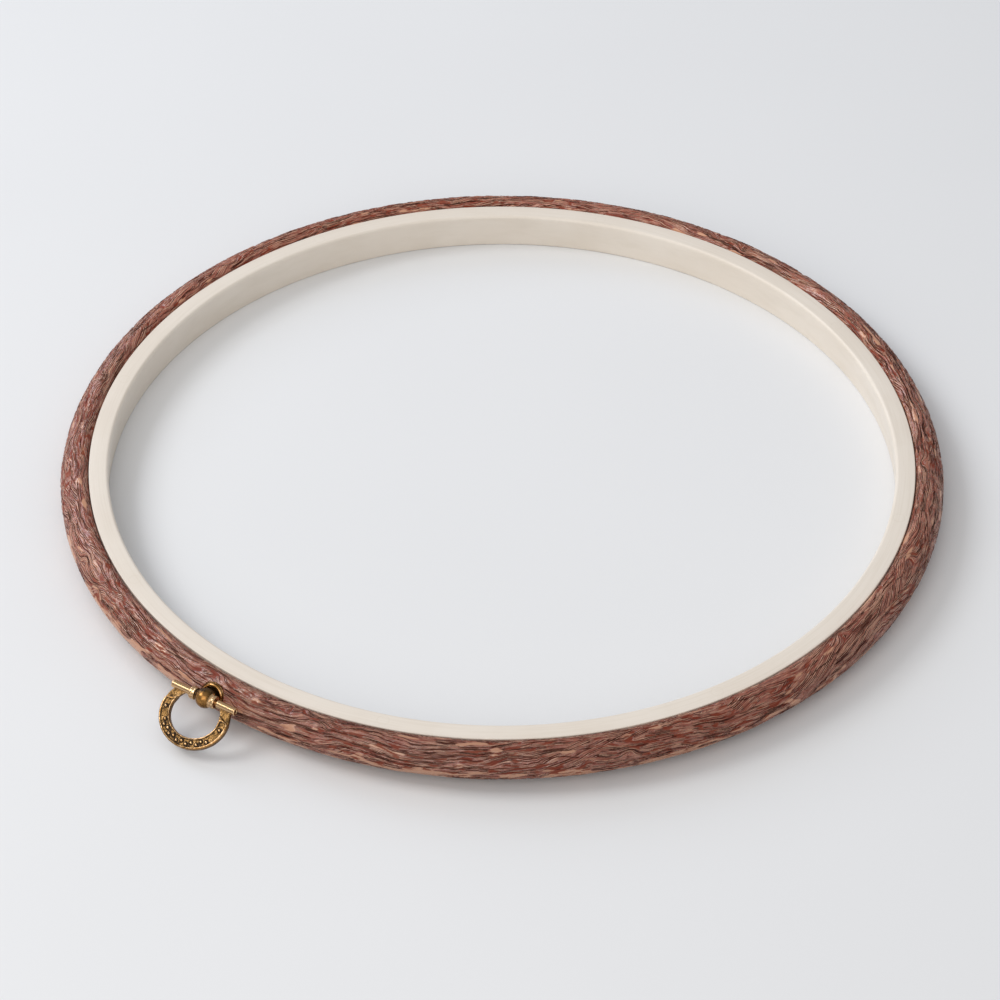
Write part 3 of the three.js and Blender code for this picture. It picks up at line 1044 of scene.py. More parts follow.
@dataclass
class BurlPattern:
    """The burl's lines, eyes and patches, as fields of the place on the frame.

    A place is an angle round the hoop and a distance over the section from the rim's edge.
    """

    seed: int = 11
    circle: float = 114.0
    crack_pitch: float = 2.3
    hatch_lines: int = 520
    strand_length: float = 5.0
    eyes: int = 96
    # angle round the hoop where the painted shade is strongest, the side that faces the camera
    shade_side: float = -0.85
    patches: tuple[tuple[float, float, float, float], ...] = (
        (-95.5, 11.9, 5.5, 2.6),
        (-103.5, 12.2, 6.0, 2.2),
        (-113.0, 12.2, 7.5, 2.2),
        (-124.0, 12.4, 5.5, 1.9),
        (-61.0, 13.6, 6.0, 1.6),
        (-42.5, 13.4, 5.0, 1.5),
        (-30.0, 13.6, 7.0, 1.3),
    )
    drifts: tuple[tuple[float, Grain], ...] = (
        (3.2, Grain(55, 20, 1)),
        (1.2, Grain(17, 7, 2)),
        (0.36, Grain(6, 2.8, 3)),
        (0.15, Grain(1.9, 1.0, 4)),
    )
    waver: Grain = Grain(7, 3.0, 5)
    hatched: Grain = Grain(14, 5, 6)
    broken: Grain = Grain(1.7, 0.8, 7)
    lenses: Grain = Grain(2.9, 0.62, 8)
    smooth: Grain = Grain(6.5, 1.5, 9)
    cracked: Grain = Grain(4, 2.0, 10)
    heave: Grain = Grain(9, 4, 11)
    groves: Grain = Grain(16, 6, 12)
    reach: float = 24.0
    noise: Lattice = field(init=False)

    def __post_init__(self) -> None:
        """Draws the lattice and the eyes."""
        self.noise = Lattice(self.seed)
        rng = np.random.default_rng(self.seed)
        spread = (np.arange(self.eyes) + rng.uniform(-0.4, 0.4, self.eyes)) / self.eyes
        self.eye_turn = spread * TURN
        self.eye_over = rng.uniform(2.5, self.reach * 0.8, self.eyes)
        self.eye_long = rng.uniform(1.6, 5.0, self.eyes)
        self.eye_wide = rng.uniform(0.8, 2.0, self.eyes)
        self.eye_lift = self.eye_wide * rng.uniform(0.7, 1.7, self.eyes)

    def grain(self, angle: np.ndarray, over: np.ndarray, grain: Grain) -> np.ndarray:
        """Reads noise drawn out along the frame.

        Args:
            angle: Angle round the hoop.
            over: Distance over the section.
            grain: The layer of noise.

        Returns:
            The noise at each place.
        """
        turn = self.circle / grain.along
        rise = over / grain.across + grain.layer * 17.3
        columns = [np.cos(angle) * turn, np.sin(angle) * turn, rise]
        return self.noise.at(np.stack(columns, -1) + grain.layer * 5.1)

    def level(self, angle: np.ndarray, over: np.ndarray) -> np.ndarray:
        """Finds the height on the growth map whose contours are the burl's lines.

        Args:
            angle: Angle round the hoop.
            over: Distance over the section.

        Returns:
            The height at each place.
        """
        drift = np.zeros(len(over))
        for depth, layer in self.drifts:
            drift += depth * self.grain(angle, over, layer)
        level = over + drift
        for turn, middle, long, wide, lift in zip(
            self.eye_turn, self.eye_over, self.eye_long, self.eye_wide, self.eye_lift
        ):
            away = (angle - turn + math.pi) % TURN - math.pi
            near = np.abs(away) * self.circle < long * 3
            square = (away[near] * self.circle / long) ** 2 + ((over[near] - middle) / wide) ** 2
            level[near] += lift * np.exp(-square)
        return level

    def read(self, angle: np.ndarray, over: np.ndarray) -> dict[str, np.ndarray]:
        """Reads every field.

        Args:
            angle: Angle round the hoop.
            over: Distance over the section.

        Returns:
            The relief in millimetres, the shares of crack, red, tan and hatch, the lines' slope,
            the share of painted near-side shade and the spaces of the strands along and across, by
            name.
        """
        level = self.level(angle, over)
        step = 0.08
        rise = self.level(angle, over + step) - level
        turn = self.level(angle + step / self.circle, over) - level
        slope = np.hypot(rise, turn) / step
        ridge = 0.5 + 0.5 * np.cos(TURN * level / LINE_PITCH)
        phase = over / HATCH_PITCH + self.hatch_lines * angle / TURN
        phase += 1.1 * self.grain(angle, over, self.waver)
        lines = 0.5 + 0.5 * np.cos(TURN * phase)
        hatch = ease(self.grain(angle, over, self.hatched), 0.3, 0.45)
        hatch = np.maximum(hatch, 1 - ease(slope, 0.2, 0.5))
        ridge = ease(ridge + (lines - ridge) * hatch, 0.15, 0.85)
        broken = ease(self.grain(angle, over, self.broken), -0.35, 0.25)
        ridge *= 0.2 + 0.8 * broken
        belt = ease(over, 3.5, 6) * (1 - ease(over, 10.5, 13))
        lens = self.grain(angle, level, self.lenses) + 0.08 * belt
        grove = ease(self.grain(angle, over, self.groves), -0.45, 0.05)
        red = ease(lens, 0.25, 0.33) * grove
        low = ease(over, 10.5, 12.5) * (1 - ease(over, 16, 18.5))
        between = over + 0.6 * (level - over)
        smooth = self.grain(angle, between, self.smooth) + 0.46 * low
        for turn, middle, long, wide in self.patches:
            away = (angle - math.radians(turn) + math.pi) % TURN - math.pi
            square = (away * self.circle / long) ** 2 + ((over - middle) / wide) ** 2
            smooth += np.exp(-square)
        tan = ease(smooth, 0.56, 0.64)
        split = np.abs(level / self.crack_pitch % 1 - 0.5) * self.crack_pitch
        crack = 1 - ease(split / slope.clip(0.7), 0.07, 0.2)
        split = ease(self.grain(angle, over, self.cracked), -0.1, 0.1)
        crack *= split * ease(slope, 0.3, 0.6)
        brink = ease(lens, 0.18, 0.23) * (1 - ease(lens, 0.24, 0.29)) * grove
        crack = np.maximum(crack, 0.6 * brink)
        ridge *= (1 - 0.85 * red) * (1 - 0.7 * tan)
        crack *= 1 - 0.7 * tan
        relief = 0.14 * ridge - 0.09 - 0.17 * red - 0.15 * crack + 0.08 * tan
        relief += 0.1 * self.grain(angle, over, self.heave)
        return {
            "relief": relief,
            "crack": crack,
            "red": red,
            "tan": tan,
            "hatch": hatch,
            "slope": slope.clip(0.45, 3),
            # painted shade, strongest on the side of the frame that faces the camera
            "near_shade": (0.5 + 0.5 * np.cos(angle - self.shade_side)) ** 3,
            "flow": self.strands(angle, level),
            "slant": self.strands(angle, phase * HATCH_PITCH),
        }

    def strands(self, angle: np.ndarray, height: np.ndarray) -> np.ndarray:
        """Makes the space in which fine noise is drawn out into strands.

        Args:
            angle: Angle round the hoop.
            height: Height on the map whose contours the strands follow.

        Returns:
            One row for each place.
        """
        long = self.circle / self.strand_length
        return np.stack([np.cos(angle) * long, np.sin(angle) * long, height / STRAND], -1)


@dataclass
class Stud:
    """The line of the hanger's stud, which runs up and out through the frame."""

    tilt: float = 26.0
    aside: float = 0.5
    drop: float = 1.35
    depth: float = 7.4
    half: float = 5.6
    standoff: float = 2.75

    def surface(self) -> float:
        """Returns the distance along the stud from the frame's bore to its outer surface."""
        across = math.cos(math.radians(self.tilt)) / self.depth
        up = math.sin(math.radians(self.tilt)) / self.half
        low = self.drop / self.half
        square = across * across + up * up
        middle = up * low
        return (middle + math.sqrt(middle * middle + square * (1 - low * low))) / square

    def place(self) -> Matrix:
        """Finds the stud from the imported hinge.

        Returns:
            A matrix in metres whose origin is where the stud leaves the bore, with Z along the
            stud and X along the hinge pin.
        """
        hinge = next(j for j in frame["joints"] if j["name"] == "bail_swing")
        along = -Vector(hinge["axis"]).normalized()
        turn = Matrix.Rotation(math.radians(self.tilt - 90), 3, along)
        outward = turn @ Vector((0, 0, 1))
        if outward.y > 0:
            outward = turn.inverted() @ Vector((0, 0, 1))
        across = outward.cross(along)
        ball = Vector(hinge["pos_m"]) + along * self.aside * METRES
        start = ball - outward * (self.surface() + self.standoff) * METRES
        basis = Matrix((along, across, outward)).transposed().to_4x4()
        return Matrix.Translation(start) @ basis @ Matrix.Scale(METRES, 4)


@dataclass
class OuterFrame:
    """The springy frame: half an ellipse in section, moulded as burl wood."""

    bore: float = 110.12
    depth: float = 7.58
    height: float = 11.2
    middle: float = 6.65
    top_edge: float = 2.4
    back_edge: float = 0.8
    hub: float = 2.4
    segments: int = 2600
    step: float = 0.16
    stud: Stud = field(default_factory=Stud)
    seat_radius: float = 3.55
    seat_depth: float = 1.0
    seat_over: float = 4.0
    hole_radius: float = 1.1
    pocket_radius: float = 2.65
    pocket_depth: float = 3.6
    pattern: BurlPattern = field(default_factory=BurlPattern)

    def lean(self, angle: float) -> float:
        """Returns the outward direction of the section's ellipse at an angle, in radians."""
        return math.atan2(math.sin(angle) / (self.height / 2), math.cos(angle) / self.depth)

    def edge_angle(self, radius: float) -> float:
        """Finds where a rounding leaves the ellipse to meet the bore.

        Args:
            radius: The rounding's radius.

        Returns:
            The angle on the ellipse, in radians.
        """
        low, high = 0.0, math.pi / 2
        for _ in range(40):
            angle = (low + high) / 2
            inset = self.depth * math.cos(angle) - radius * math.cos(self.lean(angle))
            low, high = (angle, high) if inset > radius else (low, angle)
        return low

    def section(self) -> np.ndarray:
        """Draws the section finely from the rim's edge over the bulge and back up the bore.

        Returns:
            Points (radius, height), clockwise.
        """
        half = self.height / 2
        top, back = self.edge_angle(self.top_edge), self.edge_angle(self.back_edge)
        rise = half * math.sin(top) - self.top_edge * math.sin(self.lean(top))
        fall = half * math.sin(back) - self.back_edge * math.sin(self.lean(back))
        upper = bow(
            self.bore + self.top_edge,
            self.middle + rise,
            self.top_edge,
            180,
            math.degrees(self.lean(top)),
            40,
        )
        bulge = [
            (self.bore + self.depth * math.cos(a), self.middle + half * math.sin(a))
            for a in np.linspace(top, -back, 600)
        ]
        lower = bow(
            self.bore + self.back_edge,
            self.middle - fall,
            self.back_edge,
            -math.degrees(self.lean(back)),
            -180,
            30,
        )
        return np.array(upper + bulge[1:-1] + lower)

    def even_section(self) -> np.ndarray:
        """Returns the section as evenly spaced points, with fewer up the bore."""
        drawn = self.section()
        run = run_along(drawn)
        places = np.linspace(0, run[-1], int(run[-1] / self.step))
        outside = np.stack([np.interp(places, run, drawn[:, i]) for i in (0, 1)], -1)
        inside = np.linspace(outside[-1], outside[0], 12)[1:-1]
        return np.concatenate([outside, inside])

    def build(self) -> bpy.types.Mesh:
        """Builds the frame's mesh, cut for the hanger and moulded.

        Returns:
            The mesh about the hoop's middle.
        """
        section = self.even_section()
        mesh = turned([tuple(p) for p in section[::-1]], self.segments)
        mesh = joined(mesh, self.cutter(), Join.CUT, "MANIFOLD")
        self.mould(mesh)
        return mesh

    def cutter(self) -> bpy.types.Mesh:
        """Makes the shape that cuts the stud's hole, the flange's seat and the nut's pocket."""
        surface = self.stud.surface()
        seat = surface - self.seat_depth
        profile = [
            (0.0, -self.depth),
            (self.pocket_radius, -self.depth),
            (self.pocket_radius, self.pocket_depth),
            (self.hole_radius, self.pocket_depth),
            (self.hole_radius, seat),
            (self.seat_radius, seat),
            (self.seat_radius, surface + self.seat_over),
            (0.0, surface + self.seat_over),
        ]
        return spun(turned(profile, 96), self.stud_line())

    def stud_line(self) -> Matrix:
        """Returns the stud's place about the hoop's middle, in millimetres."""
        return hoop_place().inverted() @ self.stud.place()

    def mould(self, mesh: bpy.types.Mesh) -> None:
        """Raises the burl's relief and stores the fields that colour it.

        Args:
            mesh: The smooth frame.
        """
        points = points_of(mesh)
        angle = np.arctan2(points[:, 1], points[:, 0])
        reach = np.hypot(points[:, 0], points[:, 1])
        drawn = self.section()
        run = run_along(drawn)
        hub = np.array([self.bore + self.hub, self.middle])
        spokes = drawn - hub
        bearing = np.unwrap(np.arctan2(spokes[:, 1], spokes[:, 0]))
        away = np.stack([reach, points[:, 2]], -1) - hub
        length = np.linalg.norm(away, axis=1)
        facing = np.arctan2(away[:, 1], away[:, 0])
        facing = np.where(facing > bearing[0], facing - TURN, facing)
        over = np.interp(-facing, -bearing, run)
        nominal = np.interp(-facing, -bearing, np.linalg.norm(spokes, axis=1))
        skin = (np.abs(length - nominal) < 0.02) & (reach > self.bore + 0.02)
        fields = self.pattern.read(angle, over)
        stud = self.stud_line()
        offset = (points - np.array(stud.translation)) @ np.array(stud.to_3x3())
        aside = np.hypot(offset[:, 0], offset[:, 1])
        calm = np.where(offset[:, 2] > 0, ease(aside, self.seat_radius, self.seat_radius + 1.2), 1)
        edge = ease(over, 0.2, 1.2) * ease(run[-1] - over, 0.2, 1.2)
        lift = np.where(skin, fields["relief"] * calm * edge, 0)
        ways = away / length[:, None]
        outward = np.stack([np.cos(angle) * ways[:, 0], np.sin(angle) * ways[:, 0], ways[:, 1]], -1)
        move_points(mesh, points + outward * lift[:, None])
        for name in ("crack", "red", "tan", "hatch", "slope", "near_shade"):
            write_field(mesh, name, np.where(skin, fields[name], float(name == "slope")))
        write_field(mesh, "bare", np.where(skin, 0.0, 1.0))
        for name in ("flow", "slant"):
            write_field(mesh, name, fields[name])
        mesh.shade_smooth()

    def dress(self) -> None:
        """Builds the frame, finishes it and puts it in place."""
        piece = Piece("burl_frame", ("outer_frame",), Body.FRAME, Slot.BURL)
        piece.stand(self.build(), BurlVinyl().mixed(), hoop_place())


@dataclass
class StudHardware:
    """What is bolted through the frame: flange, ball stud with its sleeve, washer and nut."""

    stud: Stud = field(default_factory=Stud)
    shank: float = 1.0
    shank_hole: float = 1.1
    shank_proud: float = 0.25
    thread_pitch: float = 0.4
    thread_depth: float = 0.09
    ball: float = 2.55
    neck: float = 1.35
    sleeve_length: float = 7.4
    sleeve: float = 1.65
    groove: float = 1.3
    groove_end: float = 2.15
    pin_hole: float = 0.55
    flange: float = 3.4
    flange_thickness: float = 1.2
    flange_edge: float = 0.1
    dish: float = 0.6
    dish_floor: float = 1.95
    roll: float = 2.62
    roll_radius: float = 0.55
    flange_seat: float = 0.95
    pocket: float = 3.6
    gap: float = 0.05
    washer: float = 2.5
    washer_thickness: float = 0.4
    nut_flats: float = 4.0
    nut_thickness: float = 1.6
    skin: float = 0.08

    def ball_centre(self) -> float:
        """Returns the ball centre's distance along the stud."""
        return self.stud.surface() + self.stud.standoff

    def flange_bottom(self) -> float:
        """Returns the flange's underside, along the stud."""
        return self.stud.surface() - self.flange_seat

    def build_flange(self) -> bpy.types.Mesh:
        """Builds the dished flange with its rolled rim."""
        low = self.flange_bottom()
        top = low + self.flange_thickness
        floor = top - self.dish
        edge = self.flange_edge
        profile = [(self.shank_hole, low), (self.dish_floor, low), (self.flange - edge, low)]
        profile += bow(self.flange - edge, low + edge, edge, -90, 0, 3)
        profile += bow(self.flange - edge, floor, edge, 0, 120, 5)
        profile += [(self.roll + self.roll_radius + 0.03, floor)]
        profile += bow(self.roll, top - self.roll_radius, self.roll_radius, 4, 180, 18)
        profile += [(self.dish_floor, floor), (self.shank_hole + edge, floor)]
        profile += [(self.shank_hole, floor)]
        return turned(profile, 128)

    def build_stud(self) -> bpy.types.Mesh:
        """Builds the ball, its neck, the sleeve through it and the threaded shank."""
        centre = self.ball_centre()
        top = self.flange_bottom() + self.flange_thickness
        work = bmesh.new()
        bmesh.ops.create_icosphere(work, subdivisions=5, radius=self.ball)
        bmesh.ops.translate(work, verts=work.verts, vec=(0, 0, centre))
        ball = bpy.data.meshes.new("ball")
        work.to_mesh(ball)
        work.free()
        foot = top - self.dish + self.gap
        collar = [(0.0, foot), (self.neck + 0.2, foot), (self.neck + 0.15, foot + 0.3)]
        collar += [(self.neck, foot + 0.6), (self.neck, centre - 1), (0.0, centre - 1)]
        neck = turned(collar, 64)
        half = self.sleeve_length / 2
        edge = 0.28
        profile = [(0.0, -half)]
        profile += bow(self.sleeve - edge, -half + edge, edge, -90, 0)
        profile += [(self.sleeve, -half + 0.75), (self.sleeve - 0.1, -half + 0.85)]
        profile += bow(self.sleeve - edge, -self.groove_end - edge, edge, 20, 90)
        profile += [(self.groove, -self.groove_end), (self.groove, 0.0)]
        mirrored = [(r, -h) for r, h in reversed(profile[:-1])]
        aside = Matrix.Translation((-self.stud.aside, 0, centre))
        along = aside @ Matrix.Rotation(math.pi / 2, 4, "Y")
        sleeve = spun(turned(profile + mirrored, 96), along)
        head = remeshed(heaped([ball, neck, sleeve]), self.skin)
        move_points(head, Neighbours(head).evened(points_of(head), 3, keep=True))
        roughened(head, 0.012, (0.7, 0.3, 0.5), 5)
        bore = spun(rod(self.pin_hole, -half - 2, half + 2, 0.01, 48), along)
        head = joined(head, bore, Join.CUT)
        return joined(head, self.build_shank(), Join.ADD)

    def build_shank(self) -> bpy.types.Mesh:
        """Builds the shank, threaded where the nut runs."""
        end = self.pocket - 2 * self.gap - self.washer_thickness - self.nut_thickness
        bottom = end - self.gap - self.shank_proud
        top = self.flange_bottom() + self.flange_seat
        heights = np.arange(bottom + 0.12, top, self.thread_pitch / 8)
        profile = [(0.0, bottom), (self.shank - 0.15, bottom)]
        profile += [(self.shank, h) for h in heights] + [(0.0, top)]

        def thread(reach: np.ndarray, height: np.ndarray, angle: np.ndarray) -> np.ndarray:
            """Cuts the helix into the shank's skin."""
            phase = (height / self.thread_pitch - angle / TURN) % 1
            cut = np.abs(phase - 0.5) * 2 * self.thread_depth
            on = ease(height, bottom, bottom + 0.3) * ease(self.pocket + 0.6 - height, 0, 0.5)
            return np.where(reach >= self.shank, reach - cut * on, reach)

        return turned(profile, 72, thread)

    def build_washer(self) -> bpy.types.Mesh:
        """Builds the washer under the nut."""
        top = self.pocket - self.gap
        low = top - self.washer_thickness
        edge = 0.06
        profile = bow(self.shank_hole + edge, low + edge, edge, 180, 270, 3)
        profile += bow(self.washer - edge, low + edge, edge, -90, 0, 3)
        profile += bow(self.washer - edge, top - edge, edge, 0, 90, 3)
        profile += bow(self.shank_hole + edge, top - edge, edge, 90, 180, 3)
        return turned(profile, 96)

    def build_nut(self) -> bpy.types.Mesh:
        """Builds the nut, with six flats and chamfered corners."""
        top = self.pocket - 2 * self.gap - self.washer_thickness
        low = top - self.nut_thickness
        flat = self.nut_flats / 2
        mark = flat * 0.96
        corner = flat / math.cos(math.pi / 6)
        slope = math.tan(math.radians(30))
        drop = (corner - mark) * slope
        profile = [(self.shank_hole, low + 0.15), (self.shank_hole + 0.15, low), (mark, low)]
        profile += [(corner, low + drop), (corner, top - drop), (mark, top)]
        profile += [(self.shank_hole + 0.15, top), (self.shank_hole, top - 0.15)]

        def flats(reach: np.ndarray, _height: np.ndarray, angle: np.ndarray) -> np.ndarray:
            """Brings the corners' circle in to the six flats."""
            sector = (angle + math.pi / 6) % (math.pi / 3) - math.pi / 6
            return np.where(reach > mark + 1e-6, flat / np.cos(sector), reach)

        mesh = turned(profile, 144, flats)
        points = points_of(mesh)
        reach = np.hypot(points[:, 0], points[:, 1])
        fall = (reach - mark) * slope
        sloped = np.where(points[:, 2] > (low + top) / 2, top - fall, low + fall)
        points[:, 2] = np.where(reach > mark + 1e-6, sloped, points[:, 2])
        move_points(mesh, points)
        mesh.set_sharp_from_angle(angle=math.radians(25))
        return mesh

    def weather(self, mesh: bpy.types.Mesh) -> None:
        """Stores where the patina lies and where it is gone: on the sleeve's two collars, which
        also get a painted sheen. The ball gets painted shade on its side towards the flange and a
        painted dark reflection all over.

        Args:
            mesh: The finished stud.
        """
        points = points_of(mesh) - (-self.stud.aside, 0, self.ball_centre())
        # collars: rubbed bright, with a painted sheen that stands for their reflections
        collars = ease(np.abs(points[:, 0]), self.groove_end - 0.05, self.groove_end + 0.15)
        crown = ease(points[:, 2], self.ball * 0.2, self.ball) * 0.5
        write_field(mesh, "wear_and_sheen", np.maximum(collars, crown))
        # painted shade on the ball's side towards the flange
        under = ease(-points[:, 2], -self.ball * 0.3, self.ball * 0.5) * (1 - collars)
        # painted dark reflection: the whole ball, apart from its collars, is darkened
        ball = 0.14 * (1 - collars)
        write_field(mesh, "patina_and_shade", hollows(mesh, 24, 0.09) + 0.22 * under + ball)

    def dress(self, brass: bpy.types.Material) -> None:
        """Builds the hardware, finishes it and puts it in place.

        Args:
            brass: The finish of the flange and the stud.
        """
        place = self.stud.place()
        steel = PlatedSteel().mixed()
        flange = self.build_flange()
        write_field(flange, "patina_and_shade", hollows(flange, 6, 0.06))
        reach = np.hypot(*points_of(flange)[:, :2].T)
        on_roll = ease(reach, self.roll - 0.5, self.roll - 0.2)
        on_roll *= 0.6 - 0.4 * ease(reach, self.roll, self.flange)
        write_field(flange, "wear_and_sheen", on_roll)
        stud = self.build_stud()
        self.weather(stud)
        pieces = [
            ("dished_flange", "hanger_flange", Slot.BRASS, flange, brass),
            ("ball_and_sleeve", "ball_stud", Slot.BRASS, stud, brass),
            ("pocket_washer", "stud_washer", Slot.STEEL, self.build_washer(), steel),
            ("pocket_nut", "stud_nut", Slot.STEEL, self.build_nut(), steel),
        ]
        for name, node, slot, mesh, finish in pieces:
            Piece(name, (node,), Body.FRAME, slot).stand(mesh, finish, place)


@dataclass
class Bail:
    """The crescent and its barrels, swinging on the hinge pin.

    It is drawn in its own plane: X along the pin, Z the reach, and its face towards +Y.
    """

    stud: Stud = field(default_factory=Stud)
    droop: float = 33.0
    shift: float = 0.2
    barrel_start: float = 4.0
    barrel_length: float = 5.5
    barrel: float = 1.0
    barrel_edge: float = 0.15
    pin: float = 0.5
    pin_hole: float = 0.55
    pin_recess: float = 0.15
    reach: float = 13.6
    width: float = 19.2
    widest: float = 5.0
    hole_width: float = 13.6
    hole_widest: float = 4.8
    band: float = 2.9
    thickness: float = 1.6
    rounding: float = 0.3
    room: float = 1.95
    recess: float = 0.25
    rim: float = 0.45
    rim_slope: float = 0.16
    foot: float = 3.2
    foot_thickness: float = 0.9
    foot_slope: float = 0.12
    beads: int = 12
    bead_row: tuple[float, float] = (40, 146)
    arm_beads: tuple[float, float] = (7, 173)
    bead: float = 0.46
    bead_rise: float = 0.32
    bead_stagger: float = 0.26
    skin: float = 0.09

    def place(self) -> Matrix:
        """Returns where the bail's plane is as it lies."""
        along = self.stud.place()
        ball = self.stud.surface() + self.stud.standoff
        swing = Matrix.Rotation(math.radians(self.stud.tilt + self.droop), 4, "X")
        return along @ Matrix.Translation((-self.stud.aside, 0, ball)) @ swing

    def edge(self, half_width: float, reach: float, widest: float, steps: int) -> np.ndarray:
        """Draws one edge of the crescent.

        Args:
            half_width: Half of its ellipse's width.
            reach: From the pin's axis to its far end.
            widest: From the pin's axis to its widest place.
            steps: Steps along it.

        Returns:
            Points (x, z), from the right end to the left.
        """
        depth = reach - widest
        start = math.asin(widest / depth)
        angles = np.linspace(-start, math.pi + start, steps + 1)
        return np.stack([half_width * np.cos(angles), depth * np.sin(angles) + widest], -1)

    def build_crescent(self) -> bpy.types.Mesh:
        """Builds the crescent with rounded edges, before its face is worked."""
        steps = 220
        outer = self.edge(self.width / 2, self.reach, self.widest, steps)
        inner = self.edge(self.hole_width / 2, self.reach - self.band, self.hole_widest, steps)
        middle = (outer + inner) / 2
        thick = ease(middle[:, 1], self.foot - self.foot_slope, self.foot + self.foot_slope)
        thick = self.foot_thickness + (self.thickness - self.foot_thickness) * thick
        corner = bow(0, 0, self.rounding, 0, 90, 4)
        drop = self.thickness / 2 - self.rounding
        wide = np.linalg.norm(outer - inner, axis=1) / 2
        across = (outer - inner) / (2 * wide)[:, None]
        rows = []
        for side, face in ((1, 1), (-1, 1), (-1, -1), (1, -1)):
            for out, up in corner[:: side * face]:
                shift = side * wide + (side * out - side * self.rounding)
                flat = middle + across * shift[:, None]
                height = (face * up + face * drop) * (thick / self.thickness)
                rows.append(np.stack([flat[:, 0], height, flat[:, 1]], -1))
        grid = np.stack(rows, 1)
        count = grid.shape[1]
        i, j = np.meshgrid(np.arange(steps), np.arange(count), indexing="ij")
        near, far = i * count, (i + 1) * count
        up = (j + 1) % count
        sides = np.stack([near + j, far + j, far + up, near + up], -1).reshape(-1, 4)
        last = steps * count
        caps = [(0, k, k + 1) for k in range(1, count - 1)]
        caps += [(last, last + k + 1, last + k) for k in range(1, count - 1)]
        mesh = bpy.data.meshes.new("crescent")
        mesh.from_pydata(grid.reshape(-1, 3).tolist(), [], sides.tolist() + caps)
        merge_doubles(mesh)
        return mesh

    def build(self) -> bpy.types.Mesh:
        """Builds the bail: crescent and barrels in one skin, bored, with its face worked."""
        lie = Matrix.Rotation(math.pi / 2, 4, "Y")
        shapes = [self.build_crescent()]
        for start in (-self.barrel_start - self.barrel_length, self.barrel_start):
            barrel = rod(self.barrel, start, start + self.barrel_length, self.barrel_edge)
            shapes.append(spun(barrel, lie))
        mesh = remeshed(heaped(shapes), self.skin)
        move_points(mesh, Neighbours(mesh).evened(points_of(mesh), 3, keep=True))
        self.round_barrels(mesh)
        self.work_face(mesh)
        away = ease(np.abs(points_of(mesh)[:, 2]), 1.0, 2.0)
        roughened(mesh, 0.022 * away, (1.1, 0.4, 0.6), 8)
        long = self.width
        for radius, half in ((self.pin_hole, long), (self.room, self.barrel_start)):
            mesh = joined(mesh, spun(rod(radius, -half, half, 0.01, 64), lie), Join.CUT)
        return spun(mesh, Matrix.Translation((self.shift, 0, 0)))

    def round_barrels(self, mesh: bpy.types.Mesh) -> None:
        """Brings the skin of the barrels back to their true radius.

        Args:
            mesh: The bail, before it is bored.
        """
        points = points_of(mesh)
        reach = np.hypot(points[:, 1], points[:, 2])
        run = np.abs(points[:, 0]) - self.barrel_start
        last = self.barrel_length - self.barrel_edge
        ends = ease(run, self.barrel_edge, self.barrel_edge + 0.2)
        ends *= 1 - ease(run, last - 0.2, last)
        near = (1 - ease(np.abs(reach - self.barrel), 0.06, 0.12)) * ends
        scale = 1 + (self.barrel / reach.clip(0.1) - 1) * near
        points[:, 1:] *= scale[:, None]
        move_points(mesh, points)

    def bead_places(self) -> list[tuple[float, float]]:
        """Places the row of beads along the band, and one on each arm."""
        middle_width = (self.width + self.hole_width) / 4
        depth = (self.reach - self.widest + self.reach - self.band - self.hole_widest) / 2
        widest = (self.widest + self.hole_widest) / 2
        row = np.radians(np.linspace(*self.bead_row, self.beads))
        shifts = self.bead_stagger * (-1) ** np.arange(self.beads)
        arms = np.radians(self.arm_beads)
        return [
            ((middle_width + s) * math.cos(a), (depth + s) * math.sin(a) + widest)
            for a, s in zip((*row, *arms), (*shifts, 0, 0))
        ]

    def face(self, points: np.ndarray) -> tuple[np.ndarray, np.ndarray, np.ndarray]:
        """Finds where the face is sunk, where its beads stand and where a darker ring lies round
        them.

        Args:
            points: Places in the bail's plane, one row each.

        Returns:
            The share of the sunk field, of a bead's height and of the darker ring, at each place.
        """
        x, z = points[:, 0], points[:, 2]
        outer = np.hypot(x / (self.width / 2), (z - self.widest) / (self.reach - self.widest))
        hole_depth = self.reach - self.band - self.hole_widest
        inner = np.hypot(x / (self.hole_width / 2), (z - self.hole_widest) / hole_depth)
        from_outer = (1 - outer) * (self.reach - self.widest + self.width / 2) / 2
        from_inner = (inner - 1) * (hole_depth + self.hole_width / 2) / 2
        sunk = np.ones(len(points))
        for depth, rim in (
            (from_outer, self.rim),
            (from_inner, self.rim * 0.7),
            (z, self.foot + self.rim),
        ):
            sunk *= ease(depth, rim, rim + self.rim_slope)
        beads, bead_ring = np.zeros(len(points)), np.zeros(len(points))
        for across, along in self.bead_places():
            away = np.hypot(x - across, z - along) / self.bead
            beads = np.maximum(beads, np.sqrt(np.clip(1 - away * away, 0, 1)))
            bead_ring = np.maximum(bead_ring, ease(away, 0.75, 0.95) * (1 - ease(away, 1.15, 1.6)))
        return sunk, beads, bead_ring

    def work_face(self, mesh: bpy.types.Mesh) -> None:
        """Sinks the face between its raised rims and sets the beads on it.

        Args:
            mesh: The bail, before it is bored.
        """
        points = points_of(mesh)
        sunk, beads, _ = self.face(points)
        front = ease(normals_of(mesh)[:, 1], 0.5, 0.9)
        points[:, 1] += (self.bead_rise * beads - self.recess * sunk) * front
        move_points(mesh, points)

    def weather(self, mesh: bpy.types.Mesh) -> None:
        """Stores where the patina lies in hollows, where hands have rubbed it off, where a darker
        ring lies round each bead and where the barrels get a painted sheen.

        Args:
            mesh: The finished bail.
        """
        points = points_of(mesh) - (self.shift, 0, 0)
        sunk, beads, bead_ring = self.face(points)
        front = ease(points[:, 1], 0, self.thickness / 4)
        # a darker ring round each bead
        write_field(mesh, "patina_and_shade", hollows(mesh, 20, 0.12) + 0.6 * bead_ring * front)
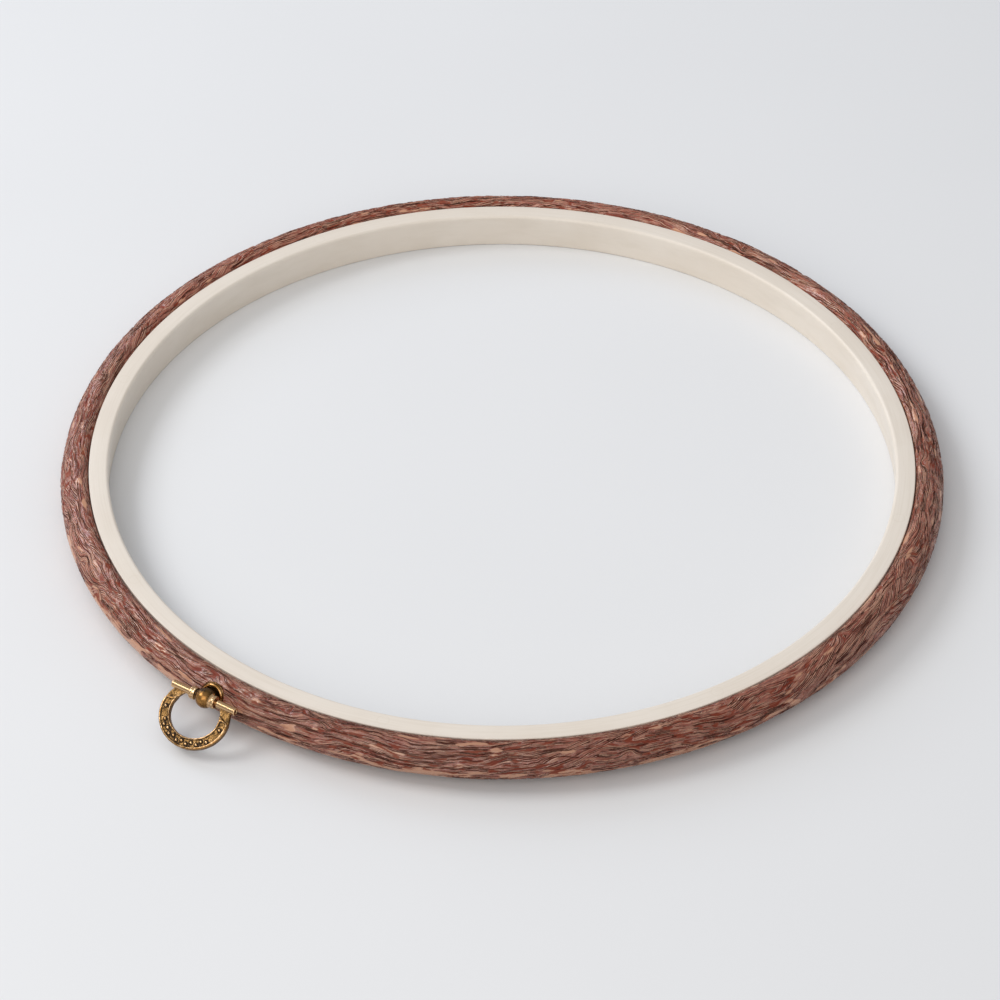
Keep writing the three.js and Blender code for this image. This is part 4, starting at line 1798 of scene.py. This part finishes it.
        # barrels: painted sheen, the bright colour standing for their reflections
        barrels = 1 - ease(np.hypot(points[:, 1], points[:, 2]), self.barrel, self.barrel + 0.2)
        arms = ease(points[:, 2], self.foot, self.foot + 0.4)
        rims = front * (1 - sunk) * arms * 0.6
        tops = 0.6 * front * ease(beads, 0.7, 1.0)
        wear_and_sheen = np.maximum(np.maximum(0.6 * rims, tops), barrels)
        write_field(mesh, "wear_and_sheen", wear_and_sheen)

    def build_pin(self) -> bpy.types.Mesh:
        """Builds the hinge pin."""
        half = self.barrel_start + self.barrel_length - self.pin_recess
        pin = rod(self.pin, -half, half, 0.1, 48)
        lie = Matrix.Translation((self.shift, 0, 0)) @ Matrix.Rotation(math.pi / 2, 4, "Y")
        return spun(pin, lie)

    def dress(self, brass: bpy.types.Material) -> None:
        """Builds the bail and its pin, finishes them and puts them in place.

        Args:
            brass: Their finish.
        """
        place = self.place()
        bail, pin = self.build(), self.build_pin()
        self.weather(bail)
        write_field(pin, "patina_and_shade", hollows(pin, 3, 0.05))
        write_field(pin, "wear_and_sheen", np.full(len(pin.vertices), 0.2))
        Piece("crescent_bail", ("bail",), Body.BAIL, Slot.BRASS).stand(bail, brass, place)
        Piece("hinge_rod", ("hinge_pin",), Body.BAIL, Slot.BRASS).stand(pin, brass, place)


# The room


@dataclass(frozen=True)
class Viewpoint:
    """Where the picture is taken from, about the hoop's middle on the table."""

    turn: float = 38.1
    pitch: float = 40.85
    stand: tuple[float, float, float] = (402.4, -514.1, 556.4)
    lens: float = 114.59
    sensor: float = 36.0

    def set_up(self) -> None:
        """Makes the camera."""
        turn, pitch = math.radians(self.turn), math.radians(self.pitch)
        ahead = Vector((-math.sin(turn), math.cos(turn), 0)) * math.cos(pitch)
        ahead.z = -math.sin(pitch)
        data = bpy.data.cameras.new("viewpoint")
        data.lens, data.sensor_width = self.lens, self.sensor
        data.clip_start, data.clip_end = 0.01, 50
        camera = bpy.data.objects.new("viewpoint", data)
        bpy.context.scene.collection.objects.link(camera)
        camera.rotation_mode = "QUATERNION"
        camera.rotation_quaternion = ahead.to_track_quat("-Z", "Y")
        camera.location = hoop_place() @ Vector(self.stand)
        bpy.context.scene.camera = camera


@dataclass(frozen=True)
class Lamp:
    """A soft square lamp that points at the hoop."""

    name: str
    bearing: float
    height: float
    distance: float
    size: float
    power: float
    colour: str = "#ffffff"

    def hang(self) -> None:
        """Hangs the lamp."""
        data = bpy.data.lights.new(self.name, "AREA")
        data.size, data.energy = self.size, self.power
        data.color = paint(self.colour)[:3]
        lamp = bpy.data.objects.new(self.name, data)
        bpy.context.scene.collection.objects.link(lamp)
        bearing, height = math.radians(self.bearing), math.radians(self.height)
        way = Vector((math.cos(bearing), math.sin(bearing), 0)) * math.cos(height)
        way.z = math.sin(height)
        lamp.location = way * self.distance
        lamp.rotation_mode = "QUATERNION"
        lamp.rotation_quaternion = way.to_track_quat("Z", "Y")


@dataclass(frozen=True)
class Studio:
    """A pale table in a soft, even room with four large lamps."""

    room: float = 0.45
    room_colour: str = "#f7f8fb"
    table: float = 3.0
    lamps: tuple[Lamp, ...] = (
        Lamp("key", bearing=212, height=44, distance=1.6, size=0.7, power=9.5),
        Lamp("window", bearing=168, height=30, distance=1.8, size=0.9, power=8.5, colour="#e8f0ff"),
        Lamp("front", bearing=290, height=38, distance=1.8, size=1.4, power=12, colour="#fff9f2"),
        Lamp("overhead", bearing=0, height=90, distance=1.8, size=1.8, power=2.5),
    )

    def set_up(self) -> None:
        """Makes the table, the room's light and the lamps."""
        half = self.table / 2
        corners = np.array([(-half, -half, 0), (half, -half, 0), (half, half, 0), (-half, half, 0)])
        mesh = mesh_of("table", corners - (0, 0, 2e-5), np.array([[0, 1, 2, 3]]))
        mesh.materials.append(PaleFloor().mixed())
        table = bpy.data.objects.new("table", mesh)
        bpy.context.scene.collection.objects.link(table)
        world = bpy.data.worlds.new("room")
        bpy.context.scene.world = world
        world.use_nodes = True
        light = world.node_tree.nodes["Background"]
        light.inputs["Color"].default_value = paint(self.room_colour)
        light.inputs["Strength"].default_value = self.room
        for lamp in self.lamps:
            lamp.hang()
        bpy.context.scene.view_settings.view_transform = "Standard"


def main() -> None:
    """Builds the hoop piece by piece and sets up its room."""
    logging.basicConfig(level=logging.INFO, format="%(name)s: %(message)s")
    brass = AntiqueBrass().mixed()
    InnerRing().dress()
    OuterFrame().dress()
    StudHardware().dress(brass)
    Bail().dress(brass)
    Studio().set_up()
    Viewpoint().set_up()


if __name__ == "__main__":
    main()
